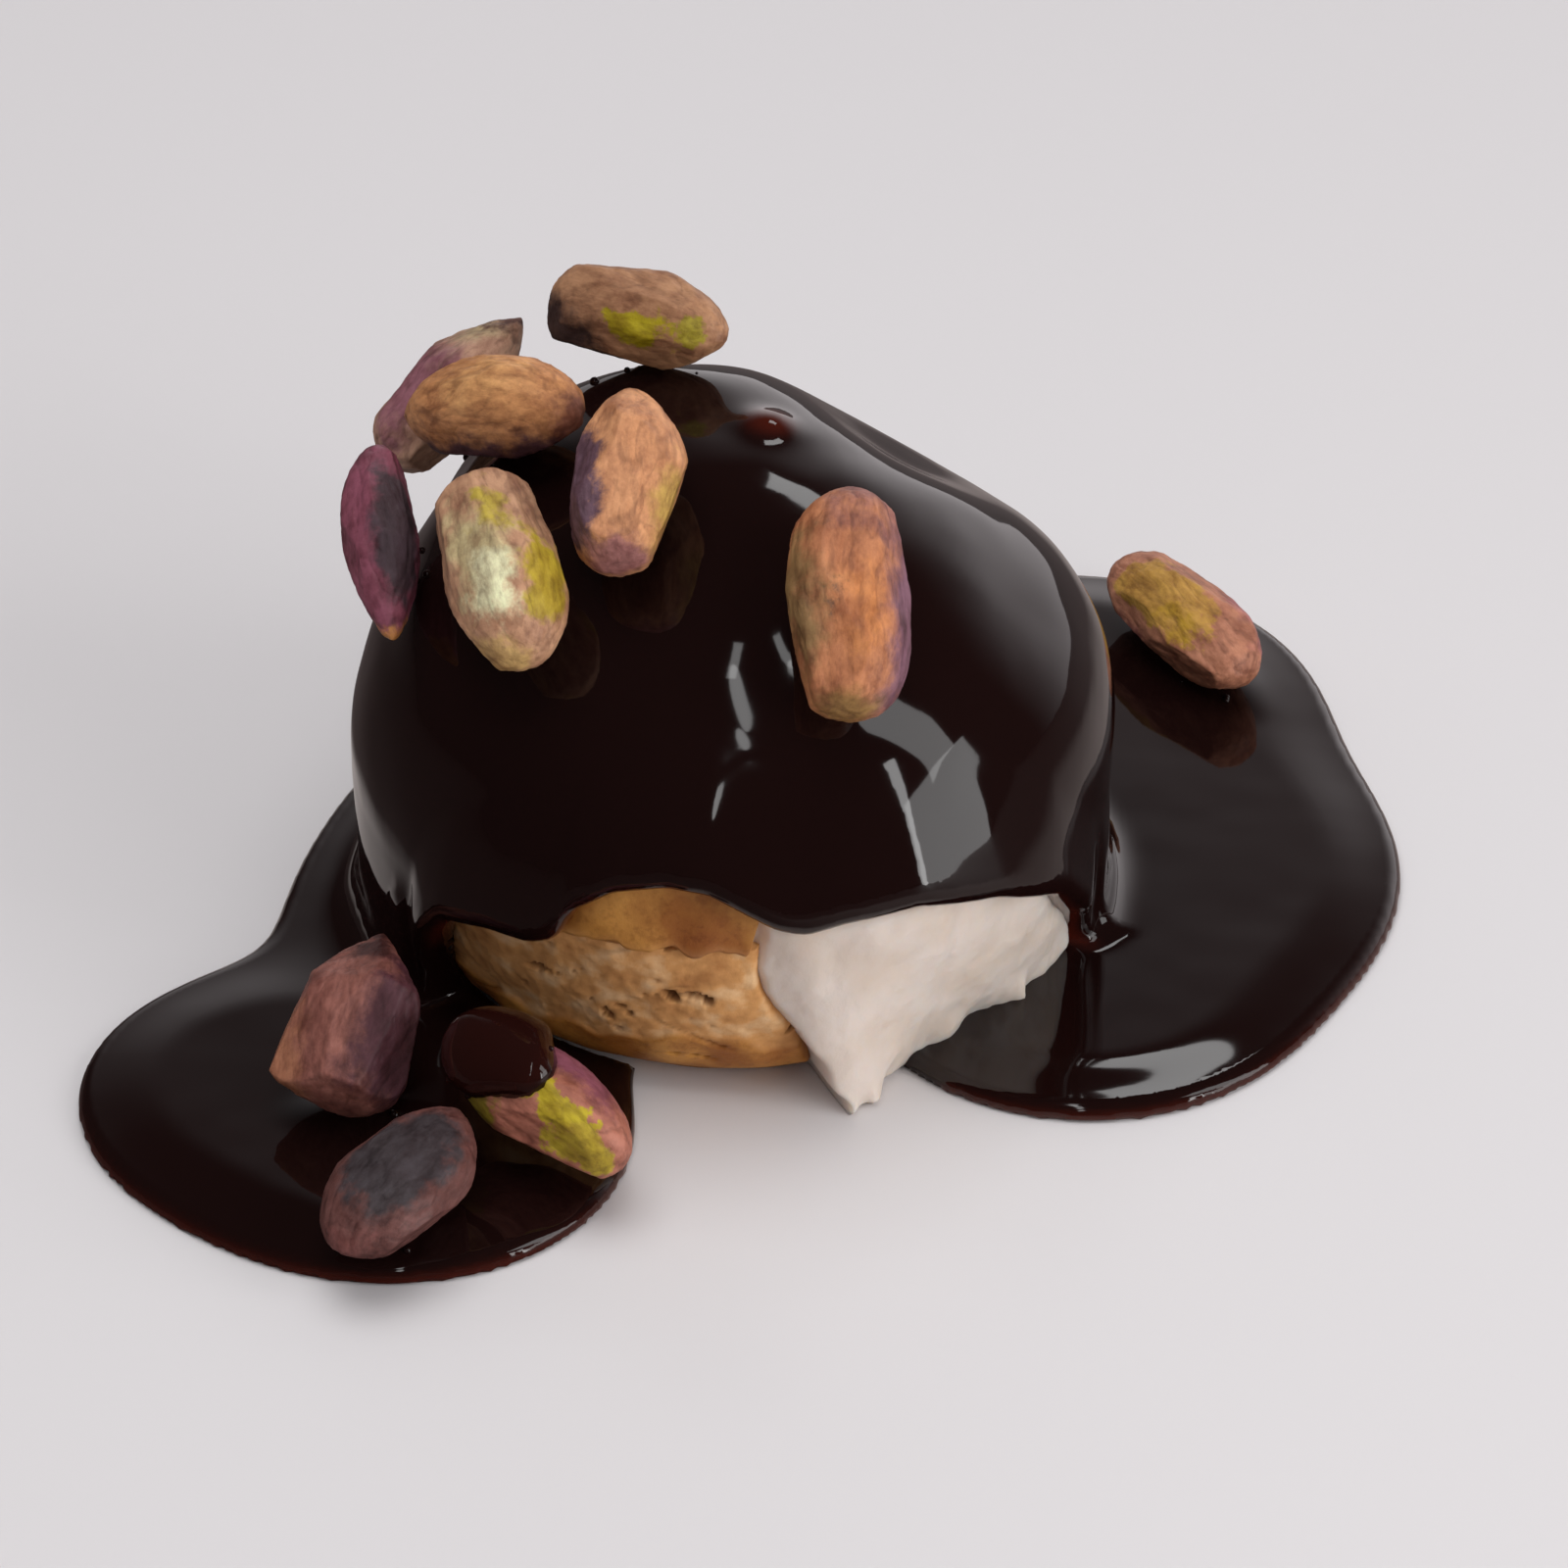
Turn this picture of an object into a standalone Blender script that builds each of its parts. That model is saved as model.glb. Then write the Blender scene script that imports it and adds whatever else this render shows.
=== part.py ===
"""A filled cream puff: a choux bun in two halves, the cream between them, the chocolate sauce poured
over it and the pistachio kernels on the sauce.

The origin is the centre of the bun's flat base, on the table; +Z is up and -Y is the side with the
open edge, where the crust and the cream show. Directions round the bun are azimuths in degrees,
0 at +X and 90 at +Y, and elevations are degrees above the level of the bun's widest ring.
"""

import bisect
import math

import bmesh
import bpy
from mathutils import Matrix, Vector

MM = 0.001
GAP = 0.3 * MM  # air between neighbouring solids

# The choux bun: flat under, widest at BUN_WAIST, domed above.
BUN_WAIST = 15.0 * MM
BUN_RADIUS = 23.6 * MM
BUN_RISE = 19.9 * MM
BUN_DROP = 22.0 * MM
BUN_UPPER_POWER = 2.0
BUN_LOWER_POWER = 2.4
BASE_EDGE_ROUND = 1.2 * MM
SPLIT_HEIGHT = 12.6 * MM  # where the bun was cut to fill it

# Swellings of the crust: azimuth, elevation, height and angular spread.
BUN_LUMPS = (
    (92, 62, 1.4 * MM, 21),
    (5, 18, 0.5 * MM, 24),
    (40, 46, -2.3 * MM, 18),
    (205, 34, 0.9 * MM, 22),
    (-70, 30, 0.5 * MM, 18),
    (140, 46, 2.0 * MM, 22),
    (150, 20, -0.6 * MM, 20),
    (-125, 50, -0.6 * MM, 16),
)

# The cream: a flat lens inside the bun that slumps out over the base at the front right.
CREAM_BED = 9.4 * MM
CREAM_CEILING = 12.8 * MM
CREAM_INNER_RADIUS = 18.6 * MM
SLUMP_AZIMUTHS = (-84.0, 4.0)
SLUMP_FADE = 9.0
SLUMP_TOP = 15.8 * MM
SLUMP_RADIUS = 24.3 * MM
SLUMP_FOOT_RADIUS = 22.6 * MM
SLUMP_BACK_RADIUS = 17.0 * MM
SLUMP_TONGUE = 1.8 * MM
SLUMP_TONGUE_AZIMUTH = -70.0
SLUMP_TONGUE_SPREAD = 8.0

# The sauce: a coat over the dome and the pool that ran off it.
COAT = 1.5 * MM
COAT_LIP = 0.8 * MM
COAT_FOOT = 0.4 * MM  # the coat ends inside the pool
POOL_DEPTH = 1.8 * MM
POOL_EDGE_ROUND = 1.0 * MM
POOL_BLEND = 4.0 * MM
SKIRT_FLARE = 2.2 * MM
SKIRT_FLARE_HEIGHT = 3.0 * MM

# Height of the coat's lower edge by azimuth. Outside these azimuths the coat reaches the table.
COAT_EDGE = (
    (-150, 0.0),
    (-144, 5.0 * MM),
    (-136, 11.9 * MM),
    (-118, 13.8 * MM),
    (-107, 18.3 * MM),
    (-97, 19.2 * MM),
    (-86, 16.9 * MM),
    (-79, 15.7 * MM),
    (-62, 16.3 * MM),
    (-33, 11.0 * MM),
    (-20, 5.2 * MM),
    (-11, 0.0),
)

# Round patches that run together into the pool: x, y and radius.
POOL_PATCHES = (
    (26.0 * MM, 4.5 * MM, 19.4 * MM),
    (23.5 * MM, -10.0 * MM, 13.6 * MM),
    (11.0 * MM, 15.0 * MM, 17.0 * MM),
    (-9.0 * MM, 9.0 * MM, 17.0 * MM),
    (-15.0 * MM, -2.0 * MM, 14.0 * MM),
    (-21.0 * MM, -26.5 * MM, 14.2 * MM),
    (-30.0 * MM, -21.0 * MM, 12.2 * MM),
    (24.5 * MM, 24.0 * MM, 16.5 * MM),
)

# Kernels on the coat: azimuth, elevation, heading, tilt, lean, lift, length, width and thickness.
KERNELS_ON_COAT = (
    (-65.5, 47, -113, 0, 0, 0.0, 16.0 * MM, 8.2 * MM, 7.4 * MM),
    (-135, 68, -50, 0, 0, 0.0, 15.0 * MM, 7.5 * MM, 7.0 * MM),
    (-143, 45, -31, 2, 0, 0.0, 15.2 * MM, 8.0 * MM, 7.2 * MM),
    (-172, 35, -11, -10, 70, 0.5 * MM, 17.4 * MM, 5.4 * MM, 5.0 * MM),
    (163.5, 52.5, 69, -2, 0, 0.0, 15.6 * MM, 7.6 * MM, 7.0 * MM),
    (117, 60, 118, -8, 0, 0.0, 14.0 * MM, 7.4 * MM, 7.0 * MM),
    (143, 38, 138, 4, 0, 0.4 * MM, 13.2 * MM, 7.2 * MM, 6.6 * MM),
)

# Kernels in the pool: where the middle lies, heading, tilt, length, width and thickness.
KERNELS_IN_POOL = (
    (-12.0 * MM, -30.0 * MM, -42, 14, 14.6 * MM, 7.0 * MM, 6.4 * MM),
    (-24.2 * MM, -21.8 * MM, -102, 16, 13.8 * MM, 9.0 * MM, 7.2 * MM),
    (-20.8 * MM, -37.2 * MM, -118, 5, 14.6 * MM, 8.6 * MM, 5.4 * MM),
    (31.8 * MM, 28.4 * MM, -62, 0, 16.6 * MM, 7.4 * MM, 5.8 * MM),
)

BUN_AZIMUTHS = 48
BUN_RINGS = 13
BUN_CUTTER_RINGS = 19
CREAM_AZIMUTHS = 60
COAT_AZIMUTHS = 60
COAT_RINGS = 11
POOL_AZIMUTHS = 72
KERNEL_SIDES = 10
KERNEL_RINGS = 8


def smooth(value):
    """Eased 0 to 1 step."""
    t = min(1.0, max(0.0, value))
    return t * t * (3.0 - 2.0 * t)


def direction(azimuth, elevation):
    """Unit vector at an azimuth and elevation in degrees."""
    turn, climb = math.radians(azimuth), math.radians(elevation)
    return Vector((math.cos(turn) * math.cos(climb), math.sin(turn) * math.cos(climb), math.sin(climb)))


def bun_reach(way):
    """Distance from the waist's centre to the crust along a unit vector."""
    level = math.hypot(way.x, way.y)
    upper = way.z > 0.0
    power = BUN_UPPER_POWER if upper else BUN_LOWER_POWER
    height = BUN_RISE if upper else BUN_DROP
    reach = ((level / BUN_RADIUS) ** power + (abs(way.z) / height) ** power) ** (-1.0 / power)
    for azimuth, elevation, rise, spread in BUN_LUMPS:
        apart = math.degrees(way.angle(direction(azimuth, elevation)))
        reach += rise * math.exp(-((apart / spread) ** 2))
    return reach


def bun_point(azimuth, elevation, grow=0.0):
    """Point on the crust, moved outwards by grow."""
    way = direction(azimuth, elevation)
    return Vector((0.0, 0.0, BUN_WAIST)) + way * (bun_reach(way) + grow)


def bun_radius_at(azimuth, height, grow=0.0):
    """Radius of the crust at an azimuth and height above the table, found by bisection."""
    low, high = -80.0, 89.0
    for _ in range(30):
        middle = (low + high) / 2.0
        if bun_point(azimuth, middle, grow).z < height:
            low = middle
        else:
            high = middle
    point = bun_point(azimuth, (low + high) / 2.0, grow)
    return math.hypot(point.x, point.y)


def skin_of_rings(name, bottom, rings, top):
    """Closed mesh of a bottom point, rings of points listed upwards, and a top point."""
    mesh = bpy.data.meshes.new(name)
    shape = bmesh.new()
    rows = [[shape.verts.new(point) for point in ring] for ring in rings]
    first, last = shape.verts.new(bottom), shape.verts.new(top)
    count = len(rings[0])
    for side in range(count):
        following = (side + 1) % count
        shape.faces.new((first, rows[0][following], rows[0][side]))
        shape.faces.new((last, rows[-1][side], rows[-1][following]))
        for lower, upper in zip(rows, rows[1:]):
            shape.faces.new((lower[side], lower[following], upper[following], upper[side]))
    bmesh.ops.triangulate(shape, faces=shape.faces)
    bmesh.ops.recalc_face_normals(shape, faces=shape.faces)
    shape.to_mesh(mesh)
    shape.free()
    return mesh


def add_object(name, mesh, helper=False):
    """Link a mesh to the scene; a helper is a cutter that isn't part of the object."""
    thing = bpy.data.objects.new(name, mesh)
    bpy.context.scene.collection.objects.link(thing)
    if helper:
        thing.hide_render = True
        thing.display_type = "WIRE"
    return thing


def combine(target, other, operation):
    """Exact Boolean of two objects, kept as a modifier."""
    modifier = target.modifiers.new(operation.title(), "BOOLEAN")
    modifier.operation = operation
    modifier.solver = "EXACT"
    modifier.object = other


def paint(thing, name, colour, roughness):
    """Give an object its own food material."""
    material = bpy.data.materials.new(name)
    material.use_nodes = True
    shader = material.node_tree.nodes["Principled BSDF"]
    shader.inputs["Base Color"].default_value = (*colour, 1.0)
    shader.inputs["Roughness"].default_value = roughness
    shader.inputs["Metallic"].default_value = 0.0
    thing.data.materials.append(material)


def bun_mesh(name, low, high, grow=0.0, count=BUN_RINGS):
    """The bun between two heights, with flat cut faces, grown outwards by grow."""
    azimuths = [360.0 * step / BUN_AZIMUTHS for step in range(BUN_AZIMUTHS)]
    crown = bun_point(0.0, 90.0, grow)
    capped = high >= crown.z
    rings = []
    for step in range(count):
        share = step / (count - 1)
        ring = []
        for azimuth in azimuths:
            edge = bun_radius_at(azimuth, low, grow)
            start = math.degrees(math.atan2(low - BUN_WAIST, edge))
            if capped:
                point = bun_point(azimuth, start + (86.0 - start) * share, grow)
            else:
                height = low + (high - low) * share
                reach = bun_radius_at(azimuth, height, grow)
                reach -= BASE_EDGE_ROUND * (1.0 - smooth((height - low) / (3.0 * BASE_EDGE_ROUND)))
                point = direction(azimuth, 0.0) * reach
                point.z = height
            ring.append(point)
        rings.append(ring)
    top = crown if capped else Vector((0.0, 0.0, high))
    return skin_of_rings(name, Vector((0.0, 0.0, low)), rings, top)


def slump_share(azimuth):
    """1 where the cream has slumped out of the bun, 0 where it stays inside."""
    start, end = SLUMP_AZIMUTHS
    turn = (azimuth + 180.0) % 360.0 - 180.0
    begun = smooth((turn - start + SLUMP_FADE) / (2.0 * SLUMP_FADE))
    return begun * smooth((end - turn + SLUMP_FADE) / (2.0 * SLUMP_FADE))


def cream_mesh(name, grow=0.0):
    """The cream as rings, from the middle of its bed, out over the base and back to the middle."""
    levels = []
    azimuths = [360.0 * step / CREAM_AZIMUTHS - 180.0 for step in range(CREAM_AZIMUTHS)]
    for azimuth in azimuths:
        share = slump_share(azimuth)
        tongue = SLUMP_TONGUE * math.exp(-(((azimuth - SLUMP_TONGUE_AZIMUTH) / SLUMP_TONGUE_SPREAD) ** 2))
        back = CREAM_INNER_RADIUS + (SLUMP_BACK_RADIUS - CREAM_INNER_RADIUS) * share
        foot = CREAM_INNER_RADIUS + (SLUMP_FOOT_RADIUS + tongue - CREAM_INNER_RADIUS) * share
        belly = CREAM_INNER_RADIUS + (SLUMP_RADIUS - CREAM_INNER_RADIUS) * share
        floor = CREAM_BED * (1.0 - share)
        ceiling = CREAM_CEILING + (SLUMP_TOP - CREAM_CEILING) * share
        profile = (
            (0.55 * back - grow, CREAM_BED - grow),
            (back - grow - 1.0 * MM, CREAM_BED - grow),
            (back - grow, floor + 0.85 * (CREAM_BED - floor) - grow),
            (back - grow, floor - grow),
            (foot + grow, floor - grow),
            (0.5 * (foot + belly) + grow, floor + 0.35 * (ceiling - floor)),
            (belly + grow, floor + 0.75 * (ceiling - floor)),
            (belly - 0.6 * MM + grow, ceiling + grow),
            (0.6 * CREAM_INNER_RADIUS + grow, CREAM_CEILING + 0.3 * MM + grow),
        )
        around = direction(azimuth, 0.0)
        levels.append([around * reach + Vector((0.0, 0.0, height)) for reach, height in profile])
    rings = [list(ring) for ring in zip(*levels)]
    bottom = Vector((0.0, 0.0, CREAM_BED - grow))
    top = Vector((0.0, 0.0, CREAM_CEILING + 0.3 * MM + grow))
    return skin_of_rings(name, bottom, rings, top)


def coat_edge(azimuth):
    """Height of the coat's lower edge at an azimuth."""
    turn = (azimuth + 180.0) % 360.0 - 180.0
    place = bisect.bisect_right([stop[0] for stop in COAT_EDGE], turn)
    if place in (0, len(COAT_EDGE)):
        return 0.0
    (start, low), (end, high) = COAT_EDGE[place - 1 : place + 1]
    return low + (high - low) * smooth((turn - start) / (end - start))


def coat_column(azimuth):
    """Points of the coat's outer form at an azimuth, from inside the bun, under the lip and up the dome."""
    edge = coat_edge(azimuth)
    turn = math.radians(azimuth)
    around = Vector((math.cos(turn), math.sin(turn), 0.0))
    up = Vector((0.0, 0.0, 1.0))
    on_table = edge < COAT_FOOT
    foot = max(edge, COAT_FOOT)
    grow = GAP + COAT
    waist = math.degrees(math.atan2(foot + COAT_LIP - BUN_WAIST, BUN_RADIUS + grow))
    column = [around * 0.4 * BUN_RADIUS + up * (foot + COAT_LIP)]
    lip = bun_radius_at(azimuth, foot, grow) - 0.6 * COAT
    column.append(around * (BUN_RADIUS + grow + SKIRT_FLARE if on_table else lip) + up * foot)
    for ring in range(COAT_RINGS):
        share = ring / COAT_RINGS
        elevation = waist + (88.0 - waist) * math.sin(share * math.pi / 2.0)
        point = bun_point(azimuth, elevation, grow)
        reach = math.hypot(point.x, point.y)
        if on_table and point.z < BUN_WAIST:
            reach = BUN_RADIUS + grow + SKIRT_FLARE * (1.0 - smooth(point.z / SKIRT_FLARE_HEIGHT))
        column.append(around * reach + up * point.z)
    return column


def coat_mesh(name):
    """The coat's outer form as a filled solid that ends in a lip at the coat's edge."""
    columns = [coat_column(360.0 * step / COAT_AZIMUTHS - 180.0) for step in range(COAT_AZIMUTHS)]
    rings = [list(ring) for ring in zip(*columns)]
    bottom = Vector((0.0, 0.0, BUN_WAIST))
    return skin_of_rings(name, bottom, rings, bun_point(0.0, 90.0, GAP + COAT))


def pool_distance(x, y):
    """How far a spot on the table lies outside the pool: the patches blended together."""
    total = sum(
        math.exp(-(math.hypot(x - px, y - py) - radius) / POOL_BLEND) for px, py, radius in POOL_PATCHES
    )
    return -POOL_BLEND * math.log(total)


def pool_radius(azimuth):
    """Outermost radius of the pool at an azimuth, or one hidden under the bun."""
    turn = math.radians(azimuth)
    reach = 60.0 * MM
    while reach > 12.0 * MM and pool_distance(reach * math.cos(turn), reach * math.sin(turn)) > 0.0:
        reach -= 0.1 * MM
    return reach


def pool_mesh(name):
    """The pool as a low disc with a rounded edge."""
    columns = []
    for step in range(POOL_AZIMUTHS):
        azimuth = 360.0 * step / POOL_AZIMUTHS
        turn = math.radians(azimuth)
        around = Vector((math.cos(turn), math.sin(turn), 0.0))
        reach = pool_radius(azimuth)
        up = Vector((0.0, 0.0, 1.0))
        columns.append([
            around * (reach - 0.25 * POOL_EDGE_ROUND),
            around * reach + up * 0.35 * POOL_DEPTH,
            around * (reach - 0.35 * POOL_EDGE_ROUND) + up * 0.8 * POOL_DEPTH,
            around * (reach - 1.5 * POOL_EDGE_ROUND) + up * POOL_DEPTH,
        ])
    rings = [list(ring) for ring in zip(*columns)]
    return skin_of_rings(name, Vector(), rings, Vector((0.0, 0.0, POOL_DEPTH)))


def kernel_mesh(name, length, width, thickness):
    """A pistachio kernel along X: blunt at one end, pointed at the other, with a flatter underside."""
    rings = []
    for step in range(KERNEL_RINGS):
        along = math.cos(math.pi * (step + 0.45) / (KERNEL_RINGS - 0.1))
        swell = (1.0 - abs(along) ** 2.8) ** 0.5 * (1.0 - 0.12 * along)
        ring = []
        for side in range(KERNEL_SIDES):
            turn = 2.0 * math.pi * side / KERNEL_SIDES
            facet = 1.0 + 0.05 * math.cos(3.0 * turn + 0.6)
            across = 0.5 * width * swell * facet * math.cos(turn)
            rise = 0.5 * thickness * swell * facet * math.sin(turn)
            ring.append(Vector((0.5 * length * along, across, rise)))
        rings.append(ring)
    return skin_of_rings(name, Vector((0.5 * length, 0.0, 0.0)), rings, Vector((-0.5 * length, 0.0, 0.0)))


def add_kernel(name, place, matrix, length, width, thickness):
    """One kernel, turned by a matrix and set down at a place."""
    kernel = add_object(name, kernel_mesh(name, length, width, thickness))
    kernel.matrix_world = Matrix.Translation(place) @ matrix.to_4x4()
    paint(kernel, name, (0.40, 0.20, 0.14), 0.6)


def coat_frame(azimuth, elevation):
    """The place on the coat at an azimuth and elevation, and axes there: round, up and out of the coat."""
    near = 1.5
    grow = GAP + COAT
    here = bun_point(azimuth, elevation, grow)
    east = bun_point(azimuth + near, elevation, grow) - bun_point(azimuth - near, elevation, grow)
    north = bun_point(azimuth, elevation + near, grow) - bun_point(azimuth, elevation - near, grow)
    outward = east.cross(north).normalized()
    east.normalize()
    return here, Matrix((east, outward.cross(east), outward)).transposed()


def add_kernels_on_coat():
    """Lay the kernels on the coat, each with its underside a gap above it."""
    for number, row in enumerate(KERNELS_ON_COAT):
        azimuth, elevation, heading, tilt, lean, lift, length, width, thickness = row
        here, axes = coat_frame(azimuth, elevation)
        turned = axes @ Matrix.Rotation(math.radians(heading), 3, "Z")
        turned = turned @ Matrix.Rotation(math.radians(-tilt), 3, "Y")
        roll = math.radians(lean)
        half = 0.5 * math.hypot(thickness * math.cos(roll), width * math.sin(roll))
        place = here + axes.col[2] * (1.05 * half + GAP + lift)
        turned = turned @ Matrix.Rotation(roll, 3, "X")
        add_kernel(f"pistachio_{number + 1}", place, turned, length, width, thickness)


def add_kernels_in_pool():
    """Lay the kernels in the pool, resting a gap above it."""
    for number, (x, y, heading, tilt, length, width, thickness) in enumerate(KERNELS_IN_POOL):
        turned = Matrix.Rotation(math.radians(heading), 3, "Z")
        turned = turned @ Matrix.Rotation(math.radians(tilt), 3, "Y")
        height = POOL_DEPTH + GAP + 0.53 * thickness + 0.32 * length * math.sin(math.radians(tilt))
        name = f"pistachio_{len(KERNELS_ON_COAT) + number + 1}"
        add_kernel(name, Vector((x, y, height)), turned, length, width, thickness)


def main():
    for thing in list(bpy.data.objects):
        bpy.data.objects.remove(thing)

    cream = add_object("cream", cream_mesh("cream"))
    paint(cream, "cream", (0.78, 0.72, 0.66), 0.45)
    cream_cutter = add_object("cream_cutter", cream_mesh("cream_cutter", GAP), helper=True)
    bun_form = bun_mesh("bun_cutter", -5.0 * MM, 1.0, GAP, BUN_CUTTER_RINGS)
    bun_cutter = add_object("bun_cutter", bun_form, helper=True)
    pool = add_object("pool_form", pool_mesh("pool_form"), helper=True)

    base = add_object("choux_base", bun_mesh("choux_base", 0.0, SPLIT_HEIGHT - 0.5 * GAP))
    combine(base, cream_cutter, "DIFFERENCE")
    paint(base, "choux_base", (0.58, 0.38, 0.20), 0.7)

    crown = add_object("choux_top", bun_mesh("choux_top", SPLIT_HEIGHT + 0.5 * GAP, 1.0))
    combine(crown, cream_cutter, "DIFFERENCE")
    paint(crown, "choux_top", (0.60, 0.33, 0.13), 0.5)

    sauce = add_object("sauce", coat_mesh("sauce"))
    combine(sauce, pool, "UNION")
    combine(sauce, bun_cutter, "DIFFERENCE")
    combine(sauce, cream_cutter, "DIFFERENCE")
    paint(sauce, "sauce", (0.018, 0.006, 0.005), 0.08)

    add_kernels_on_coat()
    add_kernels_in_pool()


main()
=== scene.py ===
"""A cream puff: a choux bun filled with cream, coated in dark chocolate sauce, with pistachios on it."""
import math

import bpy
import numpy as np
from mathutils import Matrix, Vector


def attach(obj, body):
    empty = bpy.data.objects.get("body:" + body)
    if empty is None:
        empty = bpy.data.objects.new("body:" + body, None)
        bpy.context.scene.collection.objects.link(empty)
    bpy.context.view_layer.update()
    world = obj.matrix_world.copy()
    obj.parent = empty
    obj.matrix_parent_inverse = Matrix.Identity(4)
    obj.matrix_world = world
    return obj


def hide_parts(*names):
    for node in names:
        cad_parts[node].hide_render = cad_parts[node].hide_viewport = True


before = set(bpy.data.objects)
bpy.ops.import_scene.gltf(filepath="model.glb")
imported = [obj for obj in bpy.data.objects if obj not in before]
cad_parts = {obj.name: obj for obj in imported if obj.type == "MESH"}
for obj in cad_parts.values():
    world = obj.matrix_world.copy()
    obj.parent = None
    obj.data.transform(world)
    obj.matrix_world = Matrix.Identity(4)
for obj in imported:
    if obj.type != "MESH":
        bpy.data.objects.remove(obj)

bl_info = {
    "name": "Cream puff",
    "version": (1, 0, 0),
    "blender": (4, 5, 0),
    "location": "3D View > Sidebar > Cream puff",
    "description": "Makes a filled and sauced cream puff with pistachio kernels",
    "category": "Object",
}

MM = 0.001

# The bun, in millimetres. Its widest ring is at WAIST, and it is cut through at SPLIT. Lumps are azimuth,
# elevation, height and spread.
WAIST = 15.0
SPLIT = 13.4
BUN = {"radius": 23.6, "rise": 19.9, "drop": 22.0, "upper": 2.0, "lower": 2.4}
LUMPS = (
    (92, 62, 1.4, 21),
    (5, 18, 0.5, 24),
    (40, 46, -2.3, 18),
    (205, 34, 0.9, 22),
    (-70, 30, 0.5, 18),
    (140, 46, 2.0, 22),
    (150, 20, -0.6, 20),
    (-125, 50, -0.6, 16),
)

# Azimuths between which the pastry shows under the coat.
WINDOW = (-152.0, -58.0)

# How far the sauce stays off the crust and off the table, and how far its coat stands out beyond its own
# thickness.
OFF_CRUST, OFF_TABLE, COAT_OUT = 0.12, 0.02, 0.3

# Height of the coat's lower edge by azimuth; outside these azimuths it reaches the table.
COAT_EDGE = (
    (-151, -6.0), (-147, 0.0), (-144, 6.0), (-140, 9.5), (-136, 11.7), (-127, 12.9), (-120, 13.1),
    (-116, 14.0), (-113, 16.6), (-107, 18.4), (-99, 19.2), (-93, 18.9), (-88, 17.6), (-83, 16.2),
    (-79, 15.7), (-73, 16.2), (-62, 16.2), (-48, 14.4), (-33, 10.9), (-20, 5.0), (-13, 0.5), (-9, -6.0),
)

# Middle and radius of the blister that an air bubble raised in the coat.
BLISTER = (2.6, 3.2, 37.0)
BLISTER_RADIUS = 1.7

# Round patches that run together into the pool: x, y and radius.
POOL_PATCHES = (
    (26.0, 4.5, 19.4),
    (23.5, -10.0, 13.6),
    (11.0, 15.0, 17.0),
    (-9.0, 9.0, 17.0),
    (-15.0, -2.0, 14.0),
    (-21.0, -26.5, 14.2),
    (-30.0, -21.0, 12.2),
    (24.5, 24.0, 16.5),
)

# Air bubbles: how many to the square metre where the sauce is all froth, and their smallest and largest
# radius in metres.
BUBBLES = {"Density": 2.5e5, "Smallest": 0.1 * MM, "Largest": 0.36 * MM}

# The cream's layer inside the bun: its radius, underside and top. The belly is how far it swells out where it
# slumps over the base.
CREAM = {"radius": 18.0, "under": 9.4, "top": 12.6, "belly": 24.35}

# Outline of the cream's foot: azimuth and radius.
CREAM_FOOT = (
    (-90, 19.5), (-84, 20.4), (-80, 21.6), (-78, 23.0), (-76.5, 24.3), (-75, 24.3), (-73.5, 25.3),
    (-71.5, 25.5), (-70, 24.6), (-68.8, 23.7), (-67.5, 24.2), (-66, 24.1), (-64.8, 22.7), (-63, 21.9),
    (-60, 21.9), (-57, 20.9), (-53, 20.7), (-51, 21.1), (-46, 21.0), (-44, 20.5), (-40, 21.0),
    (-37, 21.0), (-34.4, 21.8), (-33, 23.4), (-31.6, 22.0), (-28, 22.2), (-25, 22.9), (-21, 22.6),
    (-18, 23.2), (-12, 23.6), (-4, 23.8), (6, 23.0),
)


# ---------------- settings


def length_mm(name, description, default):
    """A size in millimetres that a user may change."""
    return bpy.props.FloatProperty(
        name=name, description=description, default=default, min=0.0, soft_max=4 * default
    )


def food_colour(name, description, code):
    """A colour given as an sRGB hex code."""
    return bpy.props.FloatVectorProperty(
        name=name, description=description, subtype="COLOR", size=3, min=0.0, max=1.0, default=linear(code)
    )


def linear(code):
    """Linear colour of an sRGB hex code."""
    parts = [int(code[place : place + 2], 16) / 255.0 for place in (0, 2, 4)]
    return tuple(part / 12.92 if part <= 0.04045 else ((part + 0.055) / 1.055) ** 2.4 for part in parts)


class PastrySettings(bpy.types.PropertyGroup):
    crumb_depth: length_mm("Crumb depth", "Depth of the holes in the torn crumb, mm", 0.9)
    crust_step: length_mm("Crust step", "How far the crust stands off the crumb, mm", 0.45)
    crust: food_colour("Crust", "Baked crust", "9E6229")
    crust_dark: food_colour("Crust, browned", "Crust where it baked darkest", "935524")
    crumb: food_colour("Crumb", "Torn inside of the pastry", "CE965C")
    # Colour of the painted shade in the crumb's holes and in the cracks.
    hole_shade_colour: food_colour("Crumb holes", "Inside of the crumb's holes", "6E4422")


class CreamSettings(bpy.types.PropertyGroup):
    lumpiness: length_mm("Lumpiness", "Height of the soft lumps, mm", 0.3)
    colour: food_colour("Cream", "Whipped cream", "DCCFC5")


class SauceSettings(bpy.types.PropertyGroup):
    coat: length_mm("Coat", "Thickness of the coat on the bun, mm", 1.5)
    pool: length_mm("Pool", "Depth of the pool, mm", 1.8)
    cell: length_mm("Mesh cell", "Size of the mesh's cells, mm", 0.5)
    colour: food_colour("Sauce", "Dark chocolate sauce where it is thick", "160908")
    thin: food_colour("Sauce, thin", "Sauce where it is thin enough to glow", "5C1F12")


class KernelSettings(bpy.types.PropertyGroup):
    wrinkle: length_mm("Wrinkles", "Height of the wrinkles in the skin, mm", 0.16)
    facets: bpy.props.FloatProperty(
        name="Facets", description="How deep the facets cut", subtype="FACTOR", default=0.14, min=0.0, max=0.4
    )


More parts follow.
